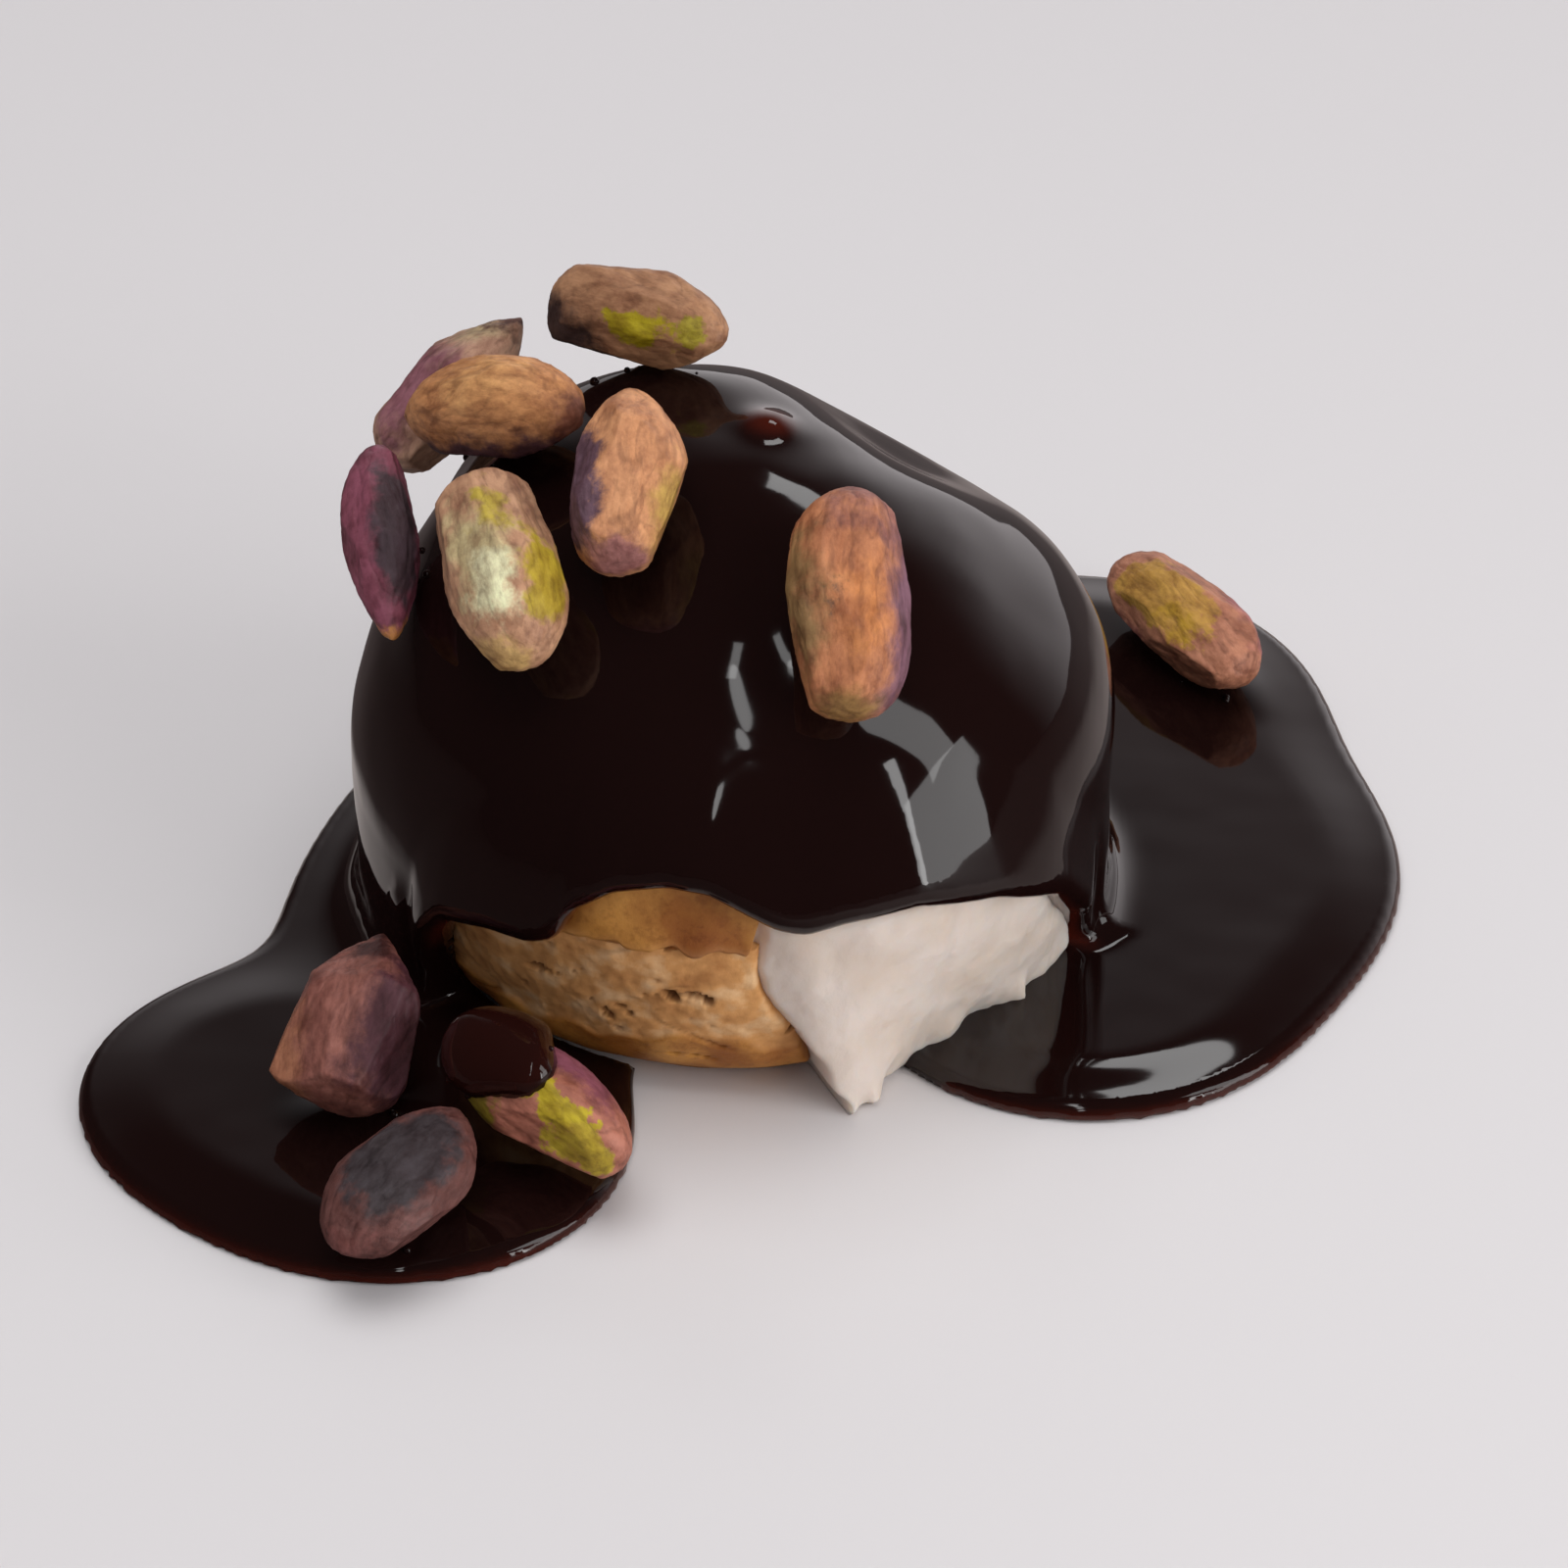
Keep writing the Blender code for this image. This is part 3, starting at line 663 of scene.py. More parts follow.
# Skin of each kernel, and the patches on it: colour, middle in halves of its sizes, radius and softness.
KERNEL_SKINS = (
    ("BC7C56", (
        ("C8824C", (0.3, 0.2, 1.0), 0.45, 0.4), ("7A5464", (0.2, 1.1, 0.1), 0.95, 0.35),
        ("8F5E56", (-0.95, 0.1, 0.5), 0.55, 0.3), ("8C6E48", (0.2, -1.0, 0.3), 0.6, 0.35),
        ("94703E", (1.05, -0.1, 0.0), 0.5, 0.3), ("5C4640", (0.3, -0.35, 0.9), 0.1, 0.12),
    )),
    ("CA9066", (
        ("654A58", (0.3, -1.0, 0.45), 0.85, 0.16), ("C4A054", (0.5, 0.95, 0.0), 0.45, 0.3),
        ("A5706C", (1.05, -0.1, 0.0), 0.5, 0.2), ("B87A5A", (0.3, 0.3, 0.9), 0.15, 0.15),
    )),
    ("B88C6E", (
        ("C4B488", (0.05, -0.1, 0.95), 0.55, 0.25), ("E0E0B8", (0.5, 0.0, 0.85), 0.36, 0.2),
        ("AE9630", (0.5, 0.85, 0.3), 0.55, 0.12), ("B09A3C", (-0.4, 0.25, 0.9), 0.3, 0.15),
        ("C09C64", (1.0, -0.3, 0.0), 0.5, 0.2),
    )),
    ("84485A", (
        ("4A3A42", (0.1, 0.55, -0.8), 0.72, 0.2), ("AC743E", (1.1, -0.2, 0.1), 0.4, 0.12),
    )),
    # Kernel 5: the lighter patch on its top is painted light, and its dark purple-brown underside is partly
    # the skin's own purple and partly painted shade.
    ("C28858", (
        ("D6A068", (0.3, -0.2, 1.0), 0.5, 0.35), ("8E5C4A", (1.05, 0.0, -0.2), 0.5, 0.25),
        ("57373C", (0.1, -0.85, -0.75), 0.85, 0.25),
    )),
    ("A87C5C", (
        ("43312F", (-0.8, -0.6, -0.3), 0.65, 0.3), ("A69618", (0.35, -0.95, 0.0), 0.42, 0.07),
        ("9A8C2C", (0.9, -0.5, 0.1), 0.2, 0.07),
    )),
    ("AE8872", (
        ("905E6A", (-0.2, -0.7, 0.6), 0.7, 0.3), ("AE9A78", (0.7, -0.4, 0.5), 0.4, 0.3),
        ("604038", (1.1, 0.0, 0.1), 0.35, 0.15),
    )),
    ("AC6E5C", (
        ("7E4656", (0.1, 0.6, 0.8), 0.6, 0.25), ("8E7E2A", (-0.7, -0.8, -0.3), 0.6, 0.1),
        ("B09C22", (0.3, -0.55, 0.8), 0.4, 0.05), ("AC962C", (0.75, -0.6, 0.2), 0.42, 0.06),
    )),
    ("8E5A50", (
        ("502E36", (0.3, 1.2, 0.3), 1.15, 0.3), ("4A2A28", (-0.95, 0.0, 0.5), 0.4, 0.2),
        ("A06A50", (0.6, -0.9, 0.0), 0.5, 0.3),
    )),
    ("6A4440", (
        ("413A3E", (-0.05, 0.1, 0.95), 0.8, 0.2), ("744642", (1.0, 0.0, 0.0), 0.4, 0.2),
    )),
    ("B47A60", (
        ("B98E42", (0.0, -0.5, 0.8), 0.74, 0.08), ("BC9430", (0.4, -0.6, 0.65), 0.3, 0.15),
        ("A8646A", (0.5, 0.9, 0.3), 0.45, 0.3), ("7A4A42", (-0.2, -1.0, -0.3), 0.4, 0.2),
    )),
)

# Layers of the kernels' wrinkles: size in millimetres, how far it is drawn out along the kernel, depth, and
# whether it makes creases.
WRINKLES = ((4.0, 1.6, 3.0, False), (2.6, 2.6, 5.0, True), (0.6, 1.8, 1.2, False))

# Inputs of the kernels' tree, and what they start from.
KERNEL_SIZES = {"Length": 0.016, "Width": 0.008, "Thickness": 0.007}
KERNEL_FORM = {"Front": 0.0, "Back": 0.0, "Taper": 0.1, "Ridge": 0.05, "Ridge side": 90.0, "Bend": 0.06}
KERNEL_SKIN = {"Facets": 0.14, "Wrinkle": 0.00016, "Seed": 0.0}


def turned(angle, axis):
    """3 by 3 rotation about an axis, as an array."""
    return np.array(Matrix.Rotation(math.radians(angle), 3, axis))


def kernel_places():
    """Each kernel's middle, its axes as columns, and its size."""
    places = []
    for azimuth, elevation, heading, tilt, lean, lift, length, width, thickness in ON_COAT:
        aside, above = np.array([(0.0, 0.0), (1.5, 0.0), (-1.5, 0.0), (0.0, 1.5), (0.0, -1.5)]).T
        here, east_of, west_of, over, under = bun_points(azimuth + aside, elevation + above, 1.8)
        east, north = east_of - west_of, over - under
        out = np.cross(east, north)
        out, east = out / np.linalg.norm(out), east / np.linalg.norm(east)
        axes = np.stack([east, np.cross(out, east), out], -1) @ turned(heading, "Z") @ turned(-tilt, "Y")
        roll = math.radians(lean)
        half = 0.5 * math.hypot(thickness * math.cos(roll), width * math.sin(roll))
        middle = here + out * (1.05 * half + 0.3 + lift)
        places.append((middle, axes @ turned(lean, "X"), (length, width, thickness)))
    for x, y, heading, tilt, length, width, thickness in IN_POOL:
        height = 2.1 + 0.53 * thickness + 0.32 * length * math.sin(math.radians(tilt))
        axes = turned(heading, "Z") @ turned(tilt, "Y")
        places.append((np.array([x, y, height]), axes, (length, width, thickness)))
    return places


def kernel_profile(x, form):
    """Exponents of a kernel's outline at -1 to 1 along it: how blunt it stays, and how fast it closes."""
    point = form[1] + (form[0] - form[1]) * smooth((x + 0.3) / 0.6)
    return 2.4 * 2.0 ** (-0.75 * point), 0.5 + 0.3 * np.maximum(point, 0.0)


def off_kernel(points, place, axes, size, form, grow=0.0):
    """Rough distance of each point outside a kernel."""
    taper, ridge, side, bend = form[2:6]
    x, y, z = ((points - place) @ axes / (np.array(size) / 2.0 + grow)).T
    z = z + bend * x * x
    blunt, close = kernel_profile(x, form)
    around = np.arctan2(z, y) - math.radians(side)
    level = np.hypot(y, z) / (1.0 - taper * np.clip(x, -1, 1)) / (1.0 + ridge * np.cos(3.0 * around))
    return ((np.abs(x) ** blunt + level ** (1.0 / close)) ** 0.45 - 1.0) * (size[2] / 2.0 + grow)


def start_tree(name, numbers, material, surface=()):
    """Geometry Nodes tree and its named inputs: a surface if it works on one, numbers and a material."""
    tree = bpy.data.node_groups.new(name, "GeometryNodeTree")
    add_socket = tree.interface.new_socket
    for label in surface:
        add_socket(label, in_out="INPUT", socket_type="NodeSocketGeometry")
    for label, default in numbers.items():
        add_socket(label, in_out="INPUT", socket_type="NodeSocketFloat").default_value = default
    add_socket(material, in_out="INPUT", socket_type="NodeSocketMaterial")
    add_socket("Geometry", in_out="OUTPUT", socket_type="NodeSocketGeometry")
    return tree, add_node(tree, "NodeGroupInput").outputs


def kernel_tree():
    """Geometry Nodes tree for one kernel: blunt or pointed ends, a long ridge, facets and wrinkles."""
    tree, given = start_tree("Pistachio kernel", {**KERNEL_SIZES, **KERNEL_FORM, **KERNEL_SKIN}, "Skin")

    def worked(operation, *terms, kind="ShaderNodeMath"):
        return add_node(tree, kind, dict(enumerate(terms)), operation=operation).outputs[0]

    def product(*terms):
        total = terms[0]
        for term in terms[1:]:
            total = worked("MULTIPLY", total, term)
        return total

    def pushed(body, way, rise):
        push = add_node(tree, VECTOR, {0: way, "Scale": rise}, operation="SCALE").outputs[0]
        return add_node(tree, "GeometryNodeSetPosition", {"Geometry": body, "Offset": push}).outputs[0]

    ball = add_node(tree, "GeometryNodeMeshIcoSphere", {"Radius": 1.0, "Subdivisions": 6}).outputs[0]
    spot = add_node(tree, "GeometryNodeInputPosition").outputs[0]
    x, y, z = add_node(tree, "ShaderNodeSeparateXYZ", {0: spot}).outputs
    squared = product(x, x)
    ends = {"Value": x, "From Min": -0.3, "From Max": 0.3, "To Min": given["Back"], "To Max": given["Front"]}
    point = add_node(tree, "ShaderNodeMapRange", ends, **EASED).outputs[0]
    blunt = product(2.4, worked("POWER", 2.0, product(-0.75, point)))
    close = worked("ADD", 0.5, product(0.3, worked("MAXIMUM", point, 0.0)))
    reach = worked("POWER", worked("SUBTRACT", 1.0001, worked("POWER", worked("ABSOLUTE", x), blunt)), close)
    swell = worked("DIVIDE", reach, worked("SQRT", worked("SUBTRACT", 1.0001, squared)))
    swell = product(swell, worked("SUBTRACT", 1.0, product(given["Taper"], x)))
    around = worked("SUBTRACT", worked("ARCTAN2", z, y), worked("RADIANS", given["Ridge side"]))
    ridge = product(given["Ridge"], worked("COSINE", product(3.0, around)))
    swell = product(swell, worked("ADD", 1.0, ridge))
    sizes = [product(0.5, given[name]) for name in KERNEL_SIZES]
    high = worked("SUBTRACT", product(z, swell), product(given["Bend"], squared))
    sides = {0: product(x, sizes[0]), 1: product(y, swell, sizes[1]), 2: product(high, sizes[2])}
    shaped = add_node(tree, "ShaderNodeCombineXYZ", sides).outputs[0]
    body = add_node(tree, "GeometryNodeSetPosition", {"Geometry": ball, "Position": shaped}).outputs[0]

    halves = add_node(tree, "ShaderNodeCombineXYZ", dict(enumerate(sizes))).outputs[0]
    for facet in range(9):
        turn = worked("ADD", given["Seed"], 2.4 * facet)
        lean = product(0.5, worked("SINE", product(1.7, turn)))
        way = {0: lean, 1: worked("COSINE", turn), 2: worked("SINE", turn)}
        way = worked("NORMALIZE", add_node(tree, "ShaderNodeCombineXYZ", way).outputs[0], kind=VECTOR)
        level = {0: worked("DIVIDE", spot, halves, kind=VECTOR), 1: way}
        level = add_node(tree, VECTOR, level, operation="DOT_PRODUCT").outputs["Value"]
        over = worked("SUBTRACT", level, worked("SUBTRACT", 1.0, given["Facets"]))
        away = worked("MULTIPLY", way, halves, kind=VECTOR)
        body = pushed(body, away, product(-0.92, worked("MAXIMUM", over, 0.0)))
    for size, stretch, depth, creased in WRINKLES:
        drawn = (1 / (size * stretch * MM), 1 / (size * MM), 1 / (size * MM))
        drawn = worked("MULTIPLY", spot, drawn, kind=VECTOR)
        inputs = {"Vector": drawn, "W": given["Seed"], "Scale": 1.0, "Detail": 2.0, "Distortion": 0.6}
        wave = add_node(tree, "ShaderNodeTexNoise", inputs, noise_dimensions="4D").outputs["Fac"]
        wave = worked("SUBTRACT", wave, 0.5)
        # Creased layers also keep fold, 1 at a crease's bottom, which the skin material uses to paint shade
        # into the creases.
        if creased:
            wave = worked("MINIMUM", worked("ABSOLUTE", wave), 0.08)
            kept = {"Geometry": body, "Name": "fold", "Value": worked("SUBTRACT", 1.0, product(12.5, wave))}
            body = add_node(tree, "GeometryNodeStoreNamedAttribute", kept, **ON_POINTS).outputs[0]
            wave = worked("SUBTRACT", wave, 0.06)
        facing = add_node(tree, "GeometryNodeInputNormal").outputs[0]
        body = pushed(body, facing, product(given["Wrinkle"], depth, wave))
    finish_tree(tree, body, given["Skin"])
    return tree


def finish_tree(tree, body, material):
    """End a Geometry Nodes tree: real mesh in place of instances, its material and the output."""
    real = add_node(tree, "GeometryNodeRealizeInstances", {0: body}).outputs[0]
    done = add_node(tree, "GeometryNodeSetMaterial", {"Geometry": real, "Material": material}).outputs[0]
    add_node(tree, "NodeGroupOutput", {0: done})


def from_tree(name, tree, values, start=None):
    """Plain mesh piece made by a Geometry Nodes tree with the named values, from a start mesh if need be."""
    maker = bpy.data.objects.new(name, start or bpy.data.meshes.new(name))
    bpy.context.scene.collection.objects.link(maker)
    modifier = maker.modifiers.new(name, "NODES")
    modifier.node_group = tree
    keys = {item.name: item.identifier for item in tree.interface.items_tree if item.in_out == "INPUT"}
    for key, value in values.items():
        modifier[keys[key]] = value
    made = bpy.data.meshes.new_from_object(maker.evaluated_get(bpy.context.evaluated_depsgraph_get()))
    maker.modifiers.remove(modifier)
    maker.data = made
    made.shade_smooth()
    return maker


def kernel_material(number, size, skin, patches):
    """Pistachio skin: dry, papery and mottled, purple where the sun caught it, with green nut rubbed bare and
    painted shade in its creases.
    """
    material, tree, shader, _ = new_material(f"Pistachio skin {number}")
    own = add_node(tree, "ShaderNodeAttribute", attribute_name="own").outputs["Vector"]
    moved = add_node(tree, VECTOR, {0: own, 1: (number * 0.05,) * 3}).outputs[0]
    halves = {0: own, 1: [2.0 / (length * MM) for length in size]}
    across = add_node(tree, VECTOR, halves, **TIMES).outputs[0]
    drift = {0: lumps_of(tree, moved, 2.6, 5.0, rough=0.65), 1: 1.5, 2: -0.75}
    drift = add_node(tree, "ShaderNodeMath", drift, operation="MULTIPLY_ADD").outputs[0]
    tone = hex_rgba(skin)
    for colour, middle, radius, soft in patches:
        away = add_node(tree, VECTOR, {0: across, 1: middle}, operation="DISTANCE").outputs["Value"]
        away = add_node(tree, "ShaderNodeMath", {0: away, 1: drift}).outputs[0]
        edge = {"Value": away, "From Min": radius + soft, "From Max": radius - soft}
        share = add_node(tree, "ShaderNodeMapRange", edge, **EASED).outputs[0]
        tone = add_node(tree, "ShaderNodeMix", {0: share, 6: tone, 7: hex_rgba(colour)}, **BLEND).outputs[2]
    mottle = lumps_of(tree, moved, 1.5, 6.0, (1.6, 1, 1), rough=0.68)
    veins = lumps_of(tree, moved, 0.6, 4.0, (4.5, 1, 1), rough=0.6)
    # Painted shade: the skin darkens at the bottoms of the creases, as the fold attribute marks them.
    crease_shade = add_node(tree, "ShaderNodeAttribute", attribute_name="fold").outputs["Fac"]
    white = linear("FFFFFF")
    mottled = ((0.34, linear("A88478")), (0.5, linear("F0E6DE")), (0.64, (1.25, 1.25, 1.2)))
    # Darkenings: mottle and veins, which are the skin's own colour, and the painted shade in the creases.
    stains = (
        (0.65, mottle, mottled),
        (0.3, veins, ((0.36, linear("7A605C")), (0.5, white))),
        (0.35, crease_shade, ((0.7, white), (1.0, linear("6A4A44")))),
    )
    for strength, pattern, stops in stains:
        stain = add_node(tree, "ShaderNodeValToRGB", {0: pattern}, stops).outputs[0]
        tone = add_node(tree, "ShaderNodeMix", {0: strength, 6: tone, 7: stain}, **STAIN).outputs[2]
    tree.links.new(tone, shader.inputs["Base Color"])
    shader.inputs["Roughness"].default_value = 0.5
    shader.inputs["Specular IOR Level"].default_value = 0.4
    relief(tree, shader, (veins, 0.10, 0.6), (lumps_of(tree, moved, 0.3, 4.0), 0.06, 0.6))
    return material


def make_kernels(settings):
    """All the kernels, each laid in its place."""
    tree = kernel_tree()
    pieces = []
    laid = zip(kernel_places(), KERNEL_FORMS, KERNEL_SKINS)
    for number, ((place, axes, size), form, skin) in enumerate(laid, 1):
        values = dict(zip(KERNEL_SIZES, (length * MM for length in size)))
        values.update(zip(KERNEL_FORM, map(float, form)))
        values.update({"Facets": settings.facets, "Wrinkle": settings.wrinkle * MM, "Seed": 3.7 * number})
        values["Skin"] = kernel_material(number, size, *skin)
        piece = from_tree(f"kernel_{number}", tree, values)
        own = np.empty(3 * len(piece.data.vertices))
        piece.data.vertices.foreach_get("co", own)
        layer = piece.data.attributes.new("own", "FLOAT_VECTOR", "POINT")
        layer.data.foreach_set("vector", own)
        piece.data.transform(Matrix.Translation(place * MM) @ Matrix(axes.tolist()).to_4x4())
        pieces.append(piece)
    return pieces


# ---------------- sauce


def off_pool(points, depth):
    """Distance outside the pool, which ends in a rounded bead."""
    gaps = [np.hypot(points[:, 0] - x, points[:, 1] - y) - radius for x, y, radius in POOL_PATCHES]
    outline = -4.0 * np.log(sum(np.exp(-np.maximum(gap, -60) / 4.0) for gap in gaps))
    level = depth - 0.6 * smooth(1.0 + outline / 5.5)
    return np.maximum(round_off(outline, points[:, 2] - level, 0.9), OFF_TABLE - points[:, 2])


def off_coat(points, thick):
    """Distance outside the coat's outer form, which ends in a bead above the open edge."""
    azimuth, height = wrap(compass(points)), points[:, 2]
    (first, fallen), (last, _) = COAT_EDGE[0], COAT_EDGE[-1]
    edge = np.where((azimuth < first + 0.1) | (azimuth > last - 0.1), fallen, along(azimuth, COAT_EDGE))
    outer = off_bun(points) - COAT_OUT - thick
    curtain = np.hypot(points[:, 0], points[:, 1]) - BUN["radius"] - COAT_OUT - thick
    hangs = smooth((4.0 - edge) / 8.0)
    outer = np.where(height < WAIST, outer + (np.minimum(outer, curtain) - outer) * hangs, outer)
    outer = outer - 0.20 * speckle(points, 9.0, 3) - 0.05 * speckle(points, 4.0, 13)
    above = 0.82 * (height - edge)
    bead = 0.95 * smooth(1.0 - above / 8.0) + 0.15 * np.exp(-(((above - 1.2) / 1.1) ** 2))
    outer = outer - bead * (1 - hangs)
    blister = np.linalg.norm(points - BLISTER, axis=1) / BLISTER_RADIUS
    outer = outer - 0.7 * np.exp(-(blister**2))
    return round_off(outer, -above, 1.5)


def sauce_field(settings):
    """Field of all the sauce: the coat, the pool, and the menisci that climb the kernels."""
    kernels = kernel_places()
    middle, lie, _ = kernels[SAUCED]
    spots = [(middle + lie @ spot, radius) for spot, radius in CAP_SPOTS]

    def field(points):
        coat = off_coat(points, settings.coat)
        pool = off_pool(points, settings.pool)
        poured = blend_in(coat, pool, 3.0)
        total, within = poured.copy(), np.full(len(points), 9.0)
        for (place, axes, size), form in zip(kernels, KERNEL_FORMS):
            near = np.linalg.norm(points - place, axis=1) < 0.75 * size[0]
            if near.any():
                kernel = off_kernel(points[near], place, axes, size, form, grow=-0.2)
                climb = blend_in(poured[near], kernel, 2.1) + 0.2 * smooth(poured[near] / 0.8)
                total[near] = np.minimum(total[near], climb)
                within[near] = np.minimum(within[near], kernel)
        total = np.maximum(total, -within)
        near = np.linalg.norm(points - spots[0][0], axis=1) < 9.0
        if near.any():
            lump = off_kernel(points[near], *kernels[SAUCED], KERNEL_FORMS[SAUCED], grow=0.85)
            end, streak = (np.linalg.norm(points[near] - spot, axis=1) - radius for spot, radius in spots)
            cap = round_off(lump, blend_in(end, streak, 2.0), 0.4)
            total[near] = blend_in(total[near], cap, 0.8)
        return np.maximum(total, np.maximum(OFF_CRUST - off_bun(points), OFF_TABLE - points[:, 2]))

    return field


def make_sauce(settings):
    """The coat and the pool as one closed skin."""
    field = sauce_field(settings)
    x, y, radius = np.array(POOL_PATCHES).T
    margin, top = 3.0, 43.0
    low = (min(x - radius) - margin, min(y - radius) - margin, 0.0)
    high = (max(x + radius) + margin, max(y + radius) + margin, top)
    points, faces = skin_over(field, low, high, settings.cell)
    piece = new_piece("chocolate_sauce", points, faces)
    turn, height, off = compass(points), points[:, 2], off_bun(points)
    above = height - along(turn, COAT_EDGE)
    shows = smooth((turn + 143) / 5) * smooth((-14 - turn) / 4)
    rim = shows * smooth(1.0 - above / 0.7) * smooth(1.0 + above / 1.5) * smooth(5.0 - off)
    blister = np.exp(-((np.linalg.norm(points - BLISTER, axis=1) / BLISTER_RADIUS) ** 4))
    shore = smooth(1.0 - height / 1.1) * smooth(off - 4.0)
    apart = [off_kernel(points, *kernel, form) for kernel, form in zip(kernel_places(), KERNEL_FORMS)]
    cap = smooth(1.0 - np.abs(apart[SAUCED] - 0.5) / 0.7) * smooth((height - 3.0) / 1.5)
    thin = 0.5 * rim + 0.45 * blister + 0.5 * shore + 0.1 * cap
    add_float(piece, "thin", np.clip(thin, 0, 1))
    add_float(piece, "froth", smooth(1.0 - np.abs(np.min(apart, 0) - 0.3) / 0.8) * (1.0 - cap))
    return piece


def bubble_tree():
    """Geometry Nodes tree that scatters small air bubbles over a surface, as its froth attribute says."""
    tree, given = start_tree("Air bubbles", BUBBLES, "Sauce", ["Surface"])
    froth = add_node(tree, "GeometryNodeInputNamedAttribute", {"Name": "froth"}, data_type="FLOAT")
    dense = {0: froth.outputs["Attribute"], 1: given["Density"]}
    dense = add_node(tree, "ShaderNodeMath", dense, **TIMES).outputs[0]
    spots = {"Mesh": given["Surface"], "Density": dense, "Seed": 7}
    spots = add_node(tree, "GeometryNodeDistributePointsOnFaces", spots).outputs["Points"]
    size = {2: given["Smallest"], 3: given["Largest"], 8: 3}
    size = add_node(tree, "FunctionNodeRandomValue", size, data_type="FLOAT").outputs[1]
    ball = add_node(tree, "GeometryNodeMeshIcoSphere", {"Radius": 1.0, "Subdivisions": 2}).outputs[0]
    spread = {"Points": spots, "Instance": ball, "Scale": size}
    spread = add_node(tree, "GeometryNodeInstanceOnPoints", spread).outputs[0]
    finish_tree(tree, spread, given["Sauce"])
    return tree


def make_bubbles(sauce, material):
    """Small air bubbles that the kernels trapped in the sauce where they meet it."""
    return from_tree("air_bubbles", bubble_tree(), {**BUBBLES, "Sauce": material}, sauce.data.copy())


# ---------------- operators


def stand_for(piece, node, material=None):
    """Let a finished piece stand for its frame node."""
    if material is not None:
        piece.data.materials.clear()
        piece.data.materials.append(material)
    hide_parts(node)
    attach(piece, "root")


class MakePastry(bpy.types.Operator):
    """Make the two halves of the choux bun"""

    bl_idname = "cream_puff.pastry"
    bl_label = "Make pastry"

    def execute(self, context):
        settings = context.scene.puff_pastry
        material = pastry_material(settings)
        stand_for(make_base(settings), "choux_base", material)
        stand_for(make_top(settings), "choux_top", material)
        return {"FINISHED"}


class MakeCream(bpy.types.Operator):
    """Make the cream that fills the bun"""

    bl_idname = "cream_puff.cream"
    bl_label = "Make cream"

    def execute(self, context):
        settings = context.scene.puff_cream
        stand_for(make_cream(settings), "cream", cream_material(settings))
        return {"FINISHED"}


class MakeSauce(bpy.types.Operator):
    """Pour the chocolate sauce"""

    bl_idname = "cream_puff.sauce"
    bl_label = "Pour sauce"

    def execute(self, context):
        settings = context.scene.puff_sauce
        material = sauce_material(settings)
        sauce = make_sauce(settings)
        bubbles = make_bubbles(sauce, material)
        stand_for(sauce, "sauce", material)
        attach(bubbles, "root")
        return {"FINISHED"}


class MakeKernels(bpy.types.Operator):
    """Lay the pistachio kernels"""

    bl_idname = "cream_puff.kernels"
    bl_label = "Lay kernels"

    def execute(self, context):
        for number, piece in enumerate(make_kernels(context.scene.puff_kernels), 1):
            stand_for(piece, f"pistachio_{number}")
        return {"FINISHED"}


# Panes of light that the sauce mirrors, all PANES_FAR metres from PANES_MIDDLE and turned to it: name,
# azimuth, elevation, width and height in metres, power in watts, roll and shape.
PANES_FAR, PANES_MIDDLE = 0.55, (0.01, -0.018, 0.025)
LIGHT_PANES = (
    ("window, upper pane", -19, 31, 0.14, 0.35, 0.43, 12, "RECTANGLE"),
    ("window, lower pane", -20, 4, 0.31, 0.22, 0.62, 0, "RECTANGLE"),
    ("window, frame", -35, 9, 0.045, 0.33, 0.28, 0, "RECTANGLE"),
    ("far window", 74, 48, 0.11, 0.06, 0.09, 0, "RECTANGLE"),
    ("strip, top", -98, 76, 0.026, 0.15, 0.04, 0, "RECTANGLE"),
    ("strip, taper", -93, 64, 0.036, 0.22, 0.08, 8, "ELLIPSE"),
    ("strip, middle", -92, 50, 0.026, 0.075, 0.022, 15, "ELLIPSE"),
    ("strip, low", -91, 37, 0.030, 0.100, 0.036, -10, "ELLIPSE"),
)


def add_light(name, place, aim, size, power, glossy=True, roll=0.0, shape="RECTANGLE"):
    """A flat soft light at a place, turned to its aim."""
    data = bpy.data.lights.new(name, "AREA")
    data.shape = shape
    data.size, data.size_y = size
    data.energy = power
    light = bpy.data.objects.new(name, data)
    bpy.context.scene.collection.objects.link(light)
    light.location = place
    light.rotation_euler = (Vector(aim) - Vector(place)).to_track_quat("-Z", "Y").to_euler()
    light.rotation_euler.rotate_axis("Z", math.radians(roll))
    light.visible_glossy = glossy
    light.visible_camera = False


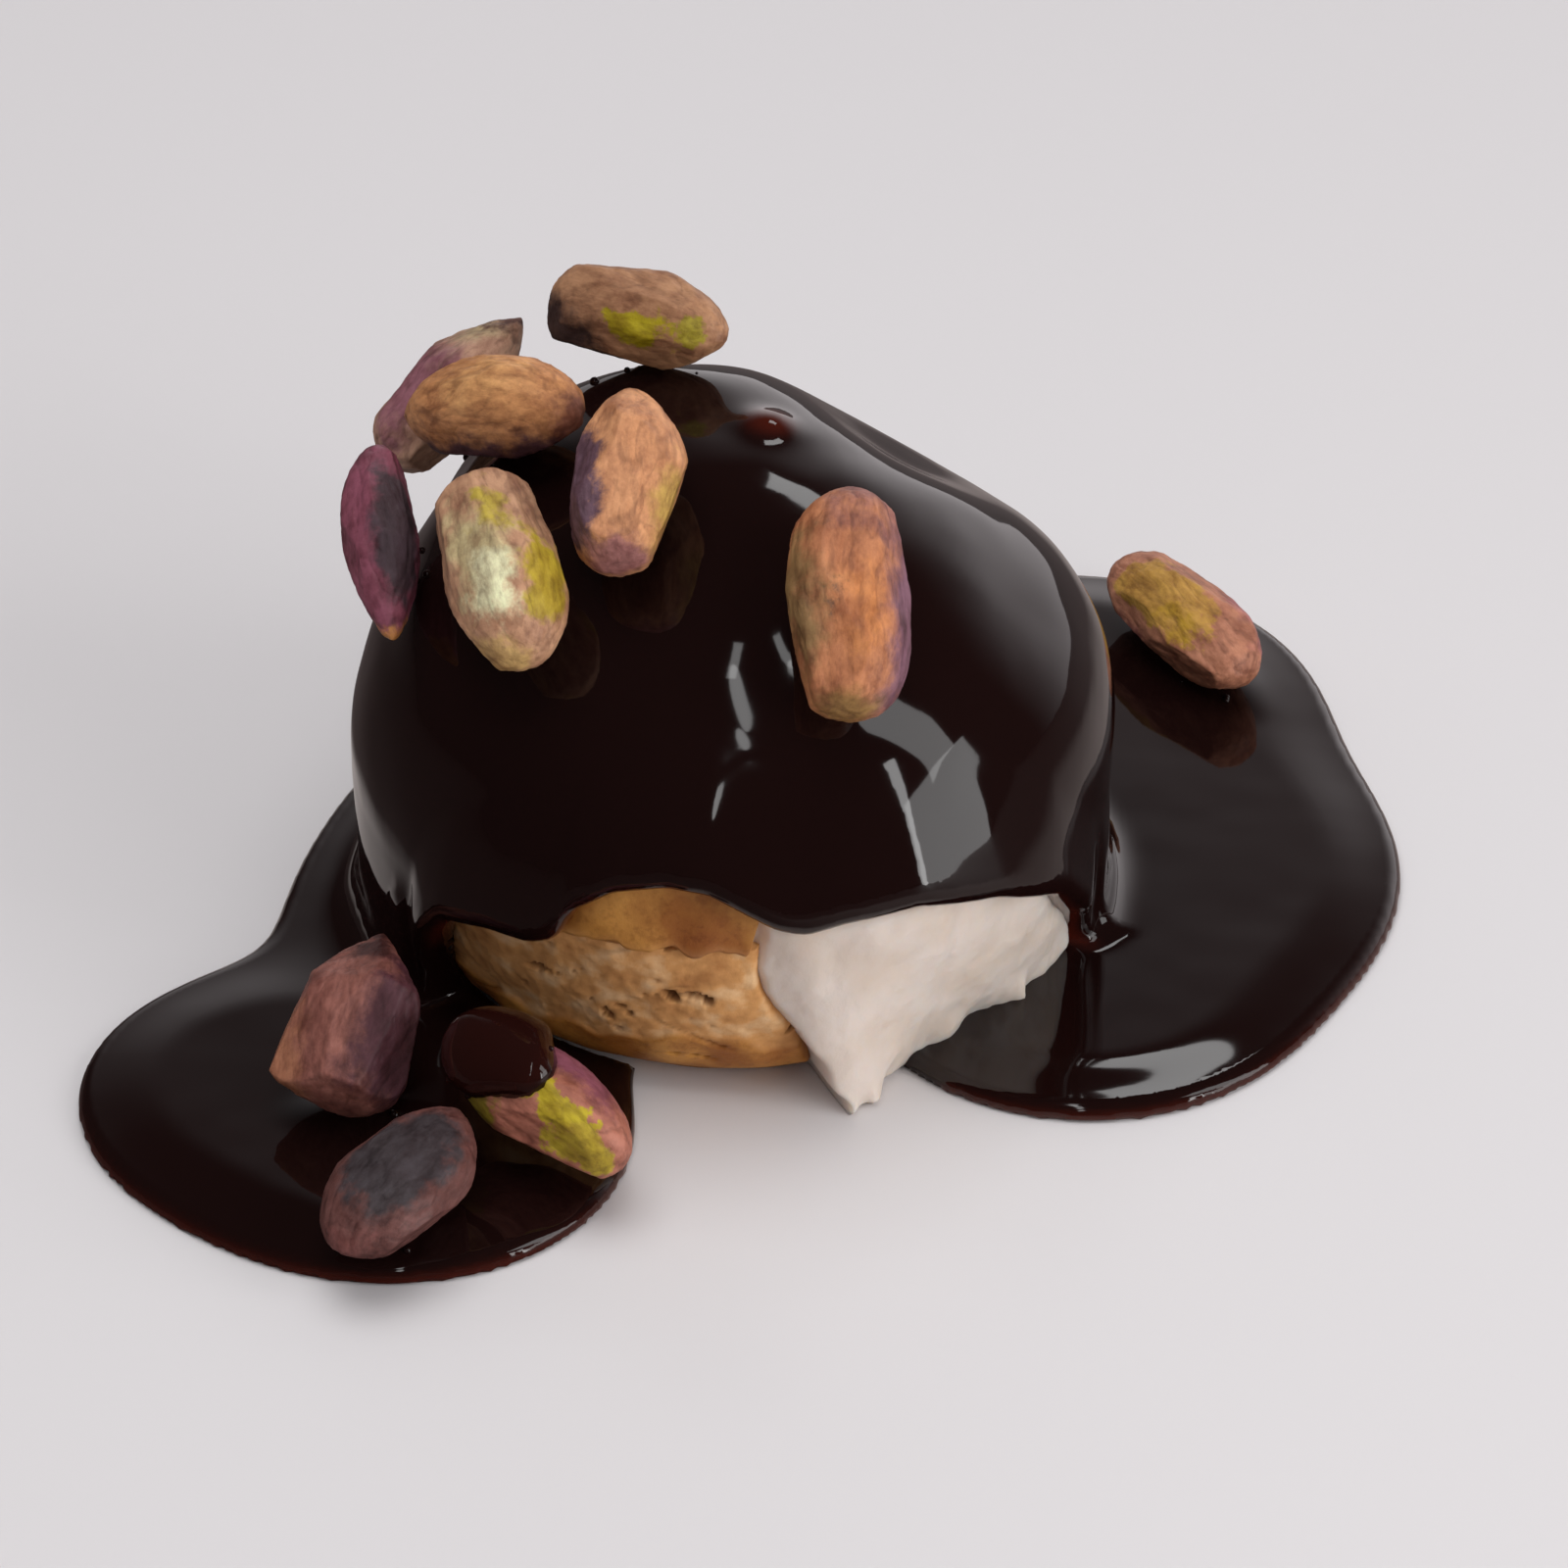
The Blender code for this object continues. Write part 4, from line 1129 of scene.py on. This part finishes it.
def studio_world():
    """Pale room: plain to look at, with a bright back wall and a darker front for the sauce to mirror."""
    world = bpy.data.worlds.new("Studio")
    world.use_nodes = True
    tree = world.node_tree
    tree.nodes.clear()
    way = add_node(tree, "ShaderNodeTexCoord").outputs["Generated"]
    x, y, z = add_node(tree, "ShaderNodeSeparateXYZ", {0: way}).outputs
    glow = 1.0
    for way, dark, bright in ((y, 0.15, 0.75), (z, 0.72, 0.2), (x, -0.5, 0.1)):
        share = {"Value": way, "From Min": dark, "From Max": bright}
        share = add_node(tree, "ShaderNodeMapRange", share, **EASED).outputs[0]
        glow = add_node(tree, "ShaderNodeMath", {0: glow, 1: share}, **TIMES).outputs[0]
    mirrored = {0: glow, 6: (0.03, 0.024, 0.024, 1.0), 7: (1.3, 1.22, 1.24, 1.0)}
    mirrored = add_node(tree, "ShaderNodeMix", mirrored, **BLEND).outputs[2]
    rays = add_node(tree, "ShaderNodeLightPath").outputs
    seen = {0: rays["Is Glossy Ray"], 6: (0.36, 0.35, 0.36, 1.0), 7: mirrored}
    seen = add_node(tree, "ShaderNodeMix", seen, **BLEND).outputs[2]
    seen = {0: rays["Is Camera Ray"], 6: seen, 7: hex_rgba("DDDDE2")}
    seen = add_node(tree, "ShaderNodeMix", seen, **BLEND).outputs[2]
    back = add_node(tree, "ShaderNodeBackground", {"Color": seen, "Strength": 1.0})
    add_node(tree, "ShaderNodeOutputWorld", {"Surface": back.outputs[0]})
    bpy.context.scene.world = world


def floor_material(settings):
    """Pale matt card; the sauce mirrors it darker, least so near the pool's side."""
    material, tree, shader, place = new_material("Pale card")
    x = add_node(tree, "ShaderNodeSeparateXYZ", {0: place}).outputs[0]
    far = add_node(tree, VECTOR, {0: place}, operation="LENGTH").outputs["Value"]
    shares = []
    for way, none, full in ((x, 0.0, 0.035), (far, 0.11, 0.07), (far, 0.040, 0.033)):
        share = {"Value": way, "From Min": none, "From Max": full}
        shares.append(add_node(tree, "ShaderNodeMapRange", share, **EASED).outputs[0])
    side, close, foot = shares
    bright = add_node(tree, "ShaderNodeMath", {0: side, 1: close}, **TIMES).outputs[0]
    dark = {0: bright, 6: hex_rgba("544846"), 7: hex_rgba("A89C98")}
    dark = add_node(tree, "ShaderNodeMix", dark, **BLEND).outputs[2]
    dark = add_node(tree, "ShaderNodeMix", {0: foot, 6: dark, 7: hex_rgba("C8BEBA")}, **BLEND).outputs[2]
    mirrored = add_node(tree, "ShaderNodeLightPath").outputs["Is Glossy Ray"]
    tone = {0: mirrored, 6: rgba(settings.floor), 7: dark}
    tone = add_node(tree, "ShaderNodeMix", tone, **BLEND).outputs[2]
    tree.links.new(tone, shader.inputs["Base Color"])
    shader.inputs["Roughness"].default_value = 0.5
    return material


class MakeStage(bpy.types.Operator):
    """Set the floor, the lights and the camera"""

    bl_idname = "cream_puff.stage"
    bl_label = "Set stage"

    def execute(self, context):
        settings = context.scene.puff_stage
        scene = context.scene
        scene.view_settings.view_transform = "Standard"
        studio_world()
        corners = [(700 * x, 700 * y, -0.05) for x, y in ((-1, -1), (1, -1), (1, 1), (-1, 1))]
        floor = new_piece("floor", corners, [[0, 1, 2, 3]])
        floor.data.materials.append(floor_material(settings))
        waist = (0.0, 0.0, WAIST * MM)
        add_light("key", (-0.06, 0.02, 0.55), waist, (0.45, 0.45), 1.5, glossy=False)
        add_light("fill", (0.45, -0.40, 0.25), waist, (0.4, 0.4), 1.1, glossy=False)
        for name, azimuth, elevation, width, height, power, roll, shape in LIGHT_PANES:
            place = PANES_FAR * unit(azimuth, elevation) + PANES_MIDDLE
            add_light(name, place, PANES_MIDDLE, (width, height), power, roll=roll, shape=shape)
        camera = bpy.data.objects.new("camera", bpy.data.cameras.new("camera"))
        scene.collection.objects.link(camera)
        scene.camera = camera
        climb, far, aim = math.radians(34.5), 0.471, Vector((0.0035, -0.006, 0.0145))
        camera.location = aim + far * Vector((0.0, -math.cos(climb), math.sin(climb)))
        camera.rotation_euler = (math.pi / 2 - climb, 0.0, 0.0)
        camera.data.lens = camera.data.sensor_width * far / (settings.width * MM)
        camera.data.clip_start, camera.data.clip_end = 0.01, 10.0
        return {"FINISHED"}


class PuffPanel(bpy.types.Panel):
    """Sidebar panel with a button for each step"""

    bl_label = "Cream puff"
    bl_idname = "VIEW3D_PT_cream_puff"
    bl_space_type = "VIEW_3D"
    bl_region_type = "UI"
    bl_category = "Cream puff"

    def draw(self, context):
        for step in STEPS:
            self.layout.operator(step.bl_idname)


STEPS = (MakeStage, MakePastry, MakeCream, MakeKernels, MakeSauce)
SETTINGS = {
    "puff_pastry": PastrySettings,
    "puff_cream": CreamSettings,
    "puff_sauce": SauceSettings,
    "puff_kernels": KernelSettings,
    "puff_stage": StageSettings,
}


def register():
    for group in (*SETTINGS.values(), *STEPS, PuffPanel):
        bpy.utils.register_class(group)
    for name, group in SETTINGS.items():
        setattr(bpy.types.Scene, name, bpy.props.PointerProperty(type=group))


def unregister():
    for name in SETTINGS:
        delattr(bpy.types.Scene, name)
    for group in reversed((*SETTINGS.values(), *STEPS, PuffPanel)):
        bpy.utils.unregister_class(group)


def main():
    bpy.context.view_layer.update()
    register()
    for step in STEPS:
        group, name = step.bl_idname.split(".")
        getattr(getattr(bpy.ops, group), name)()


if __name__ == "__main__":
    main()
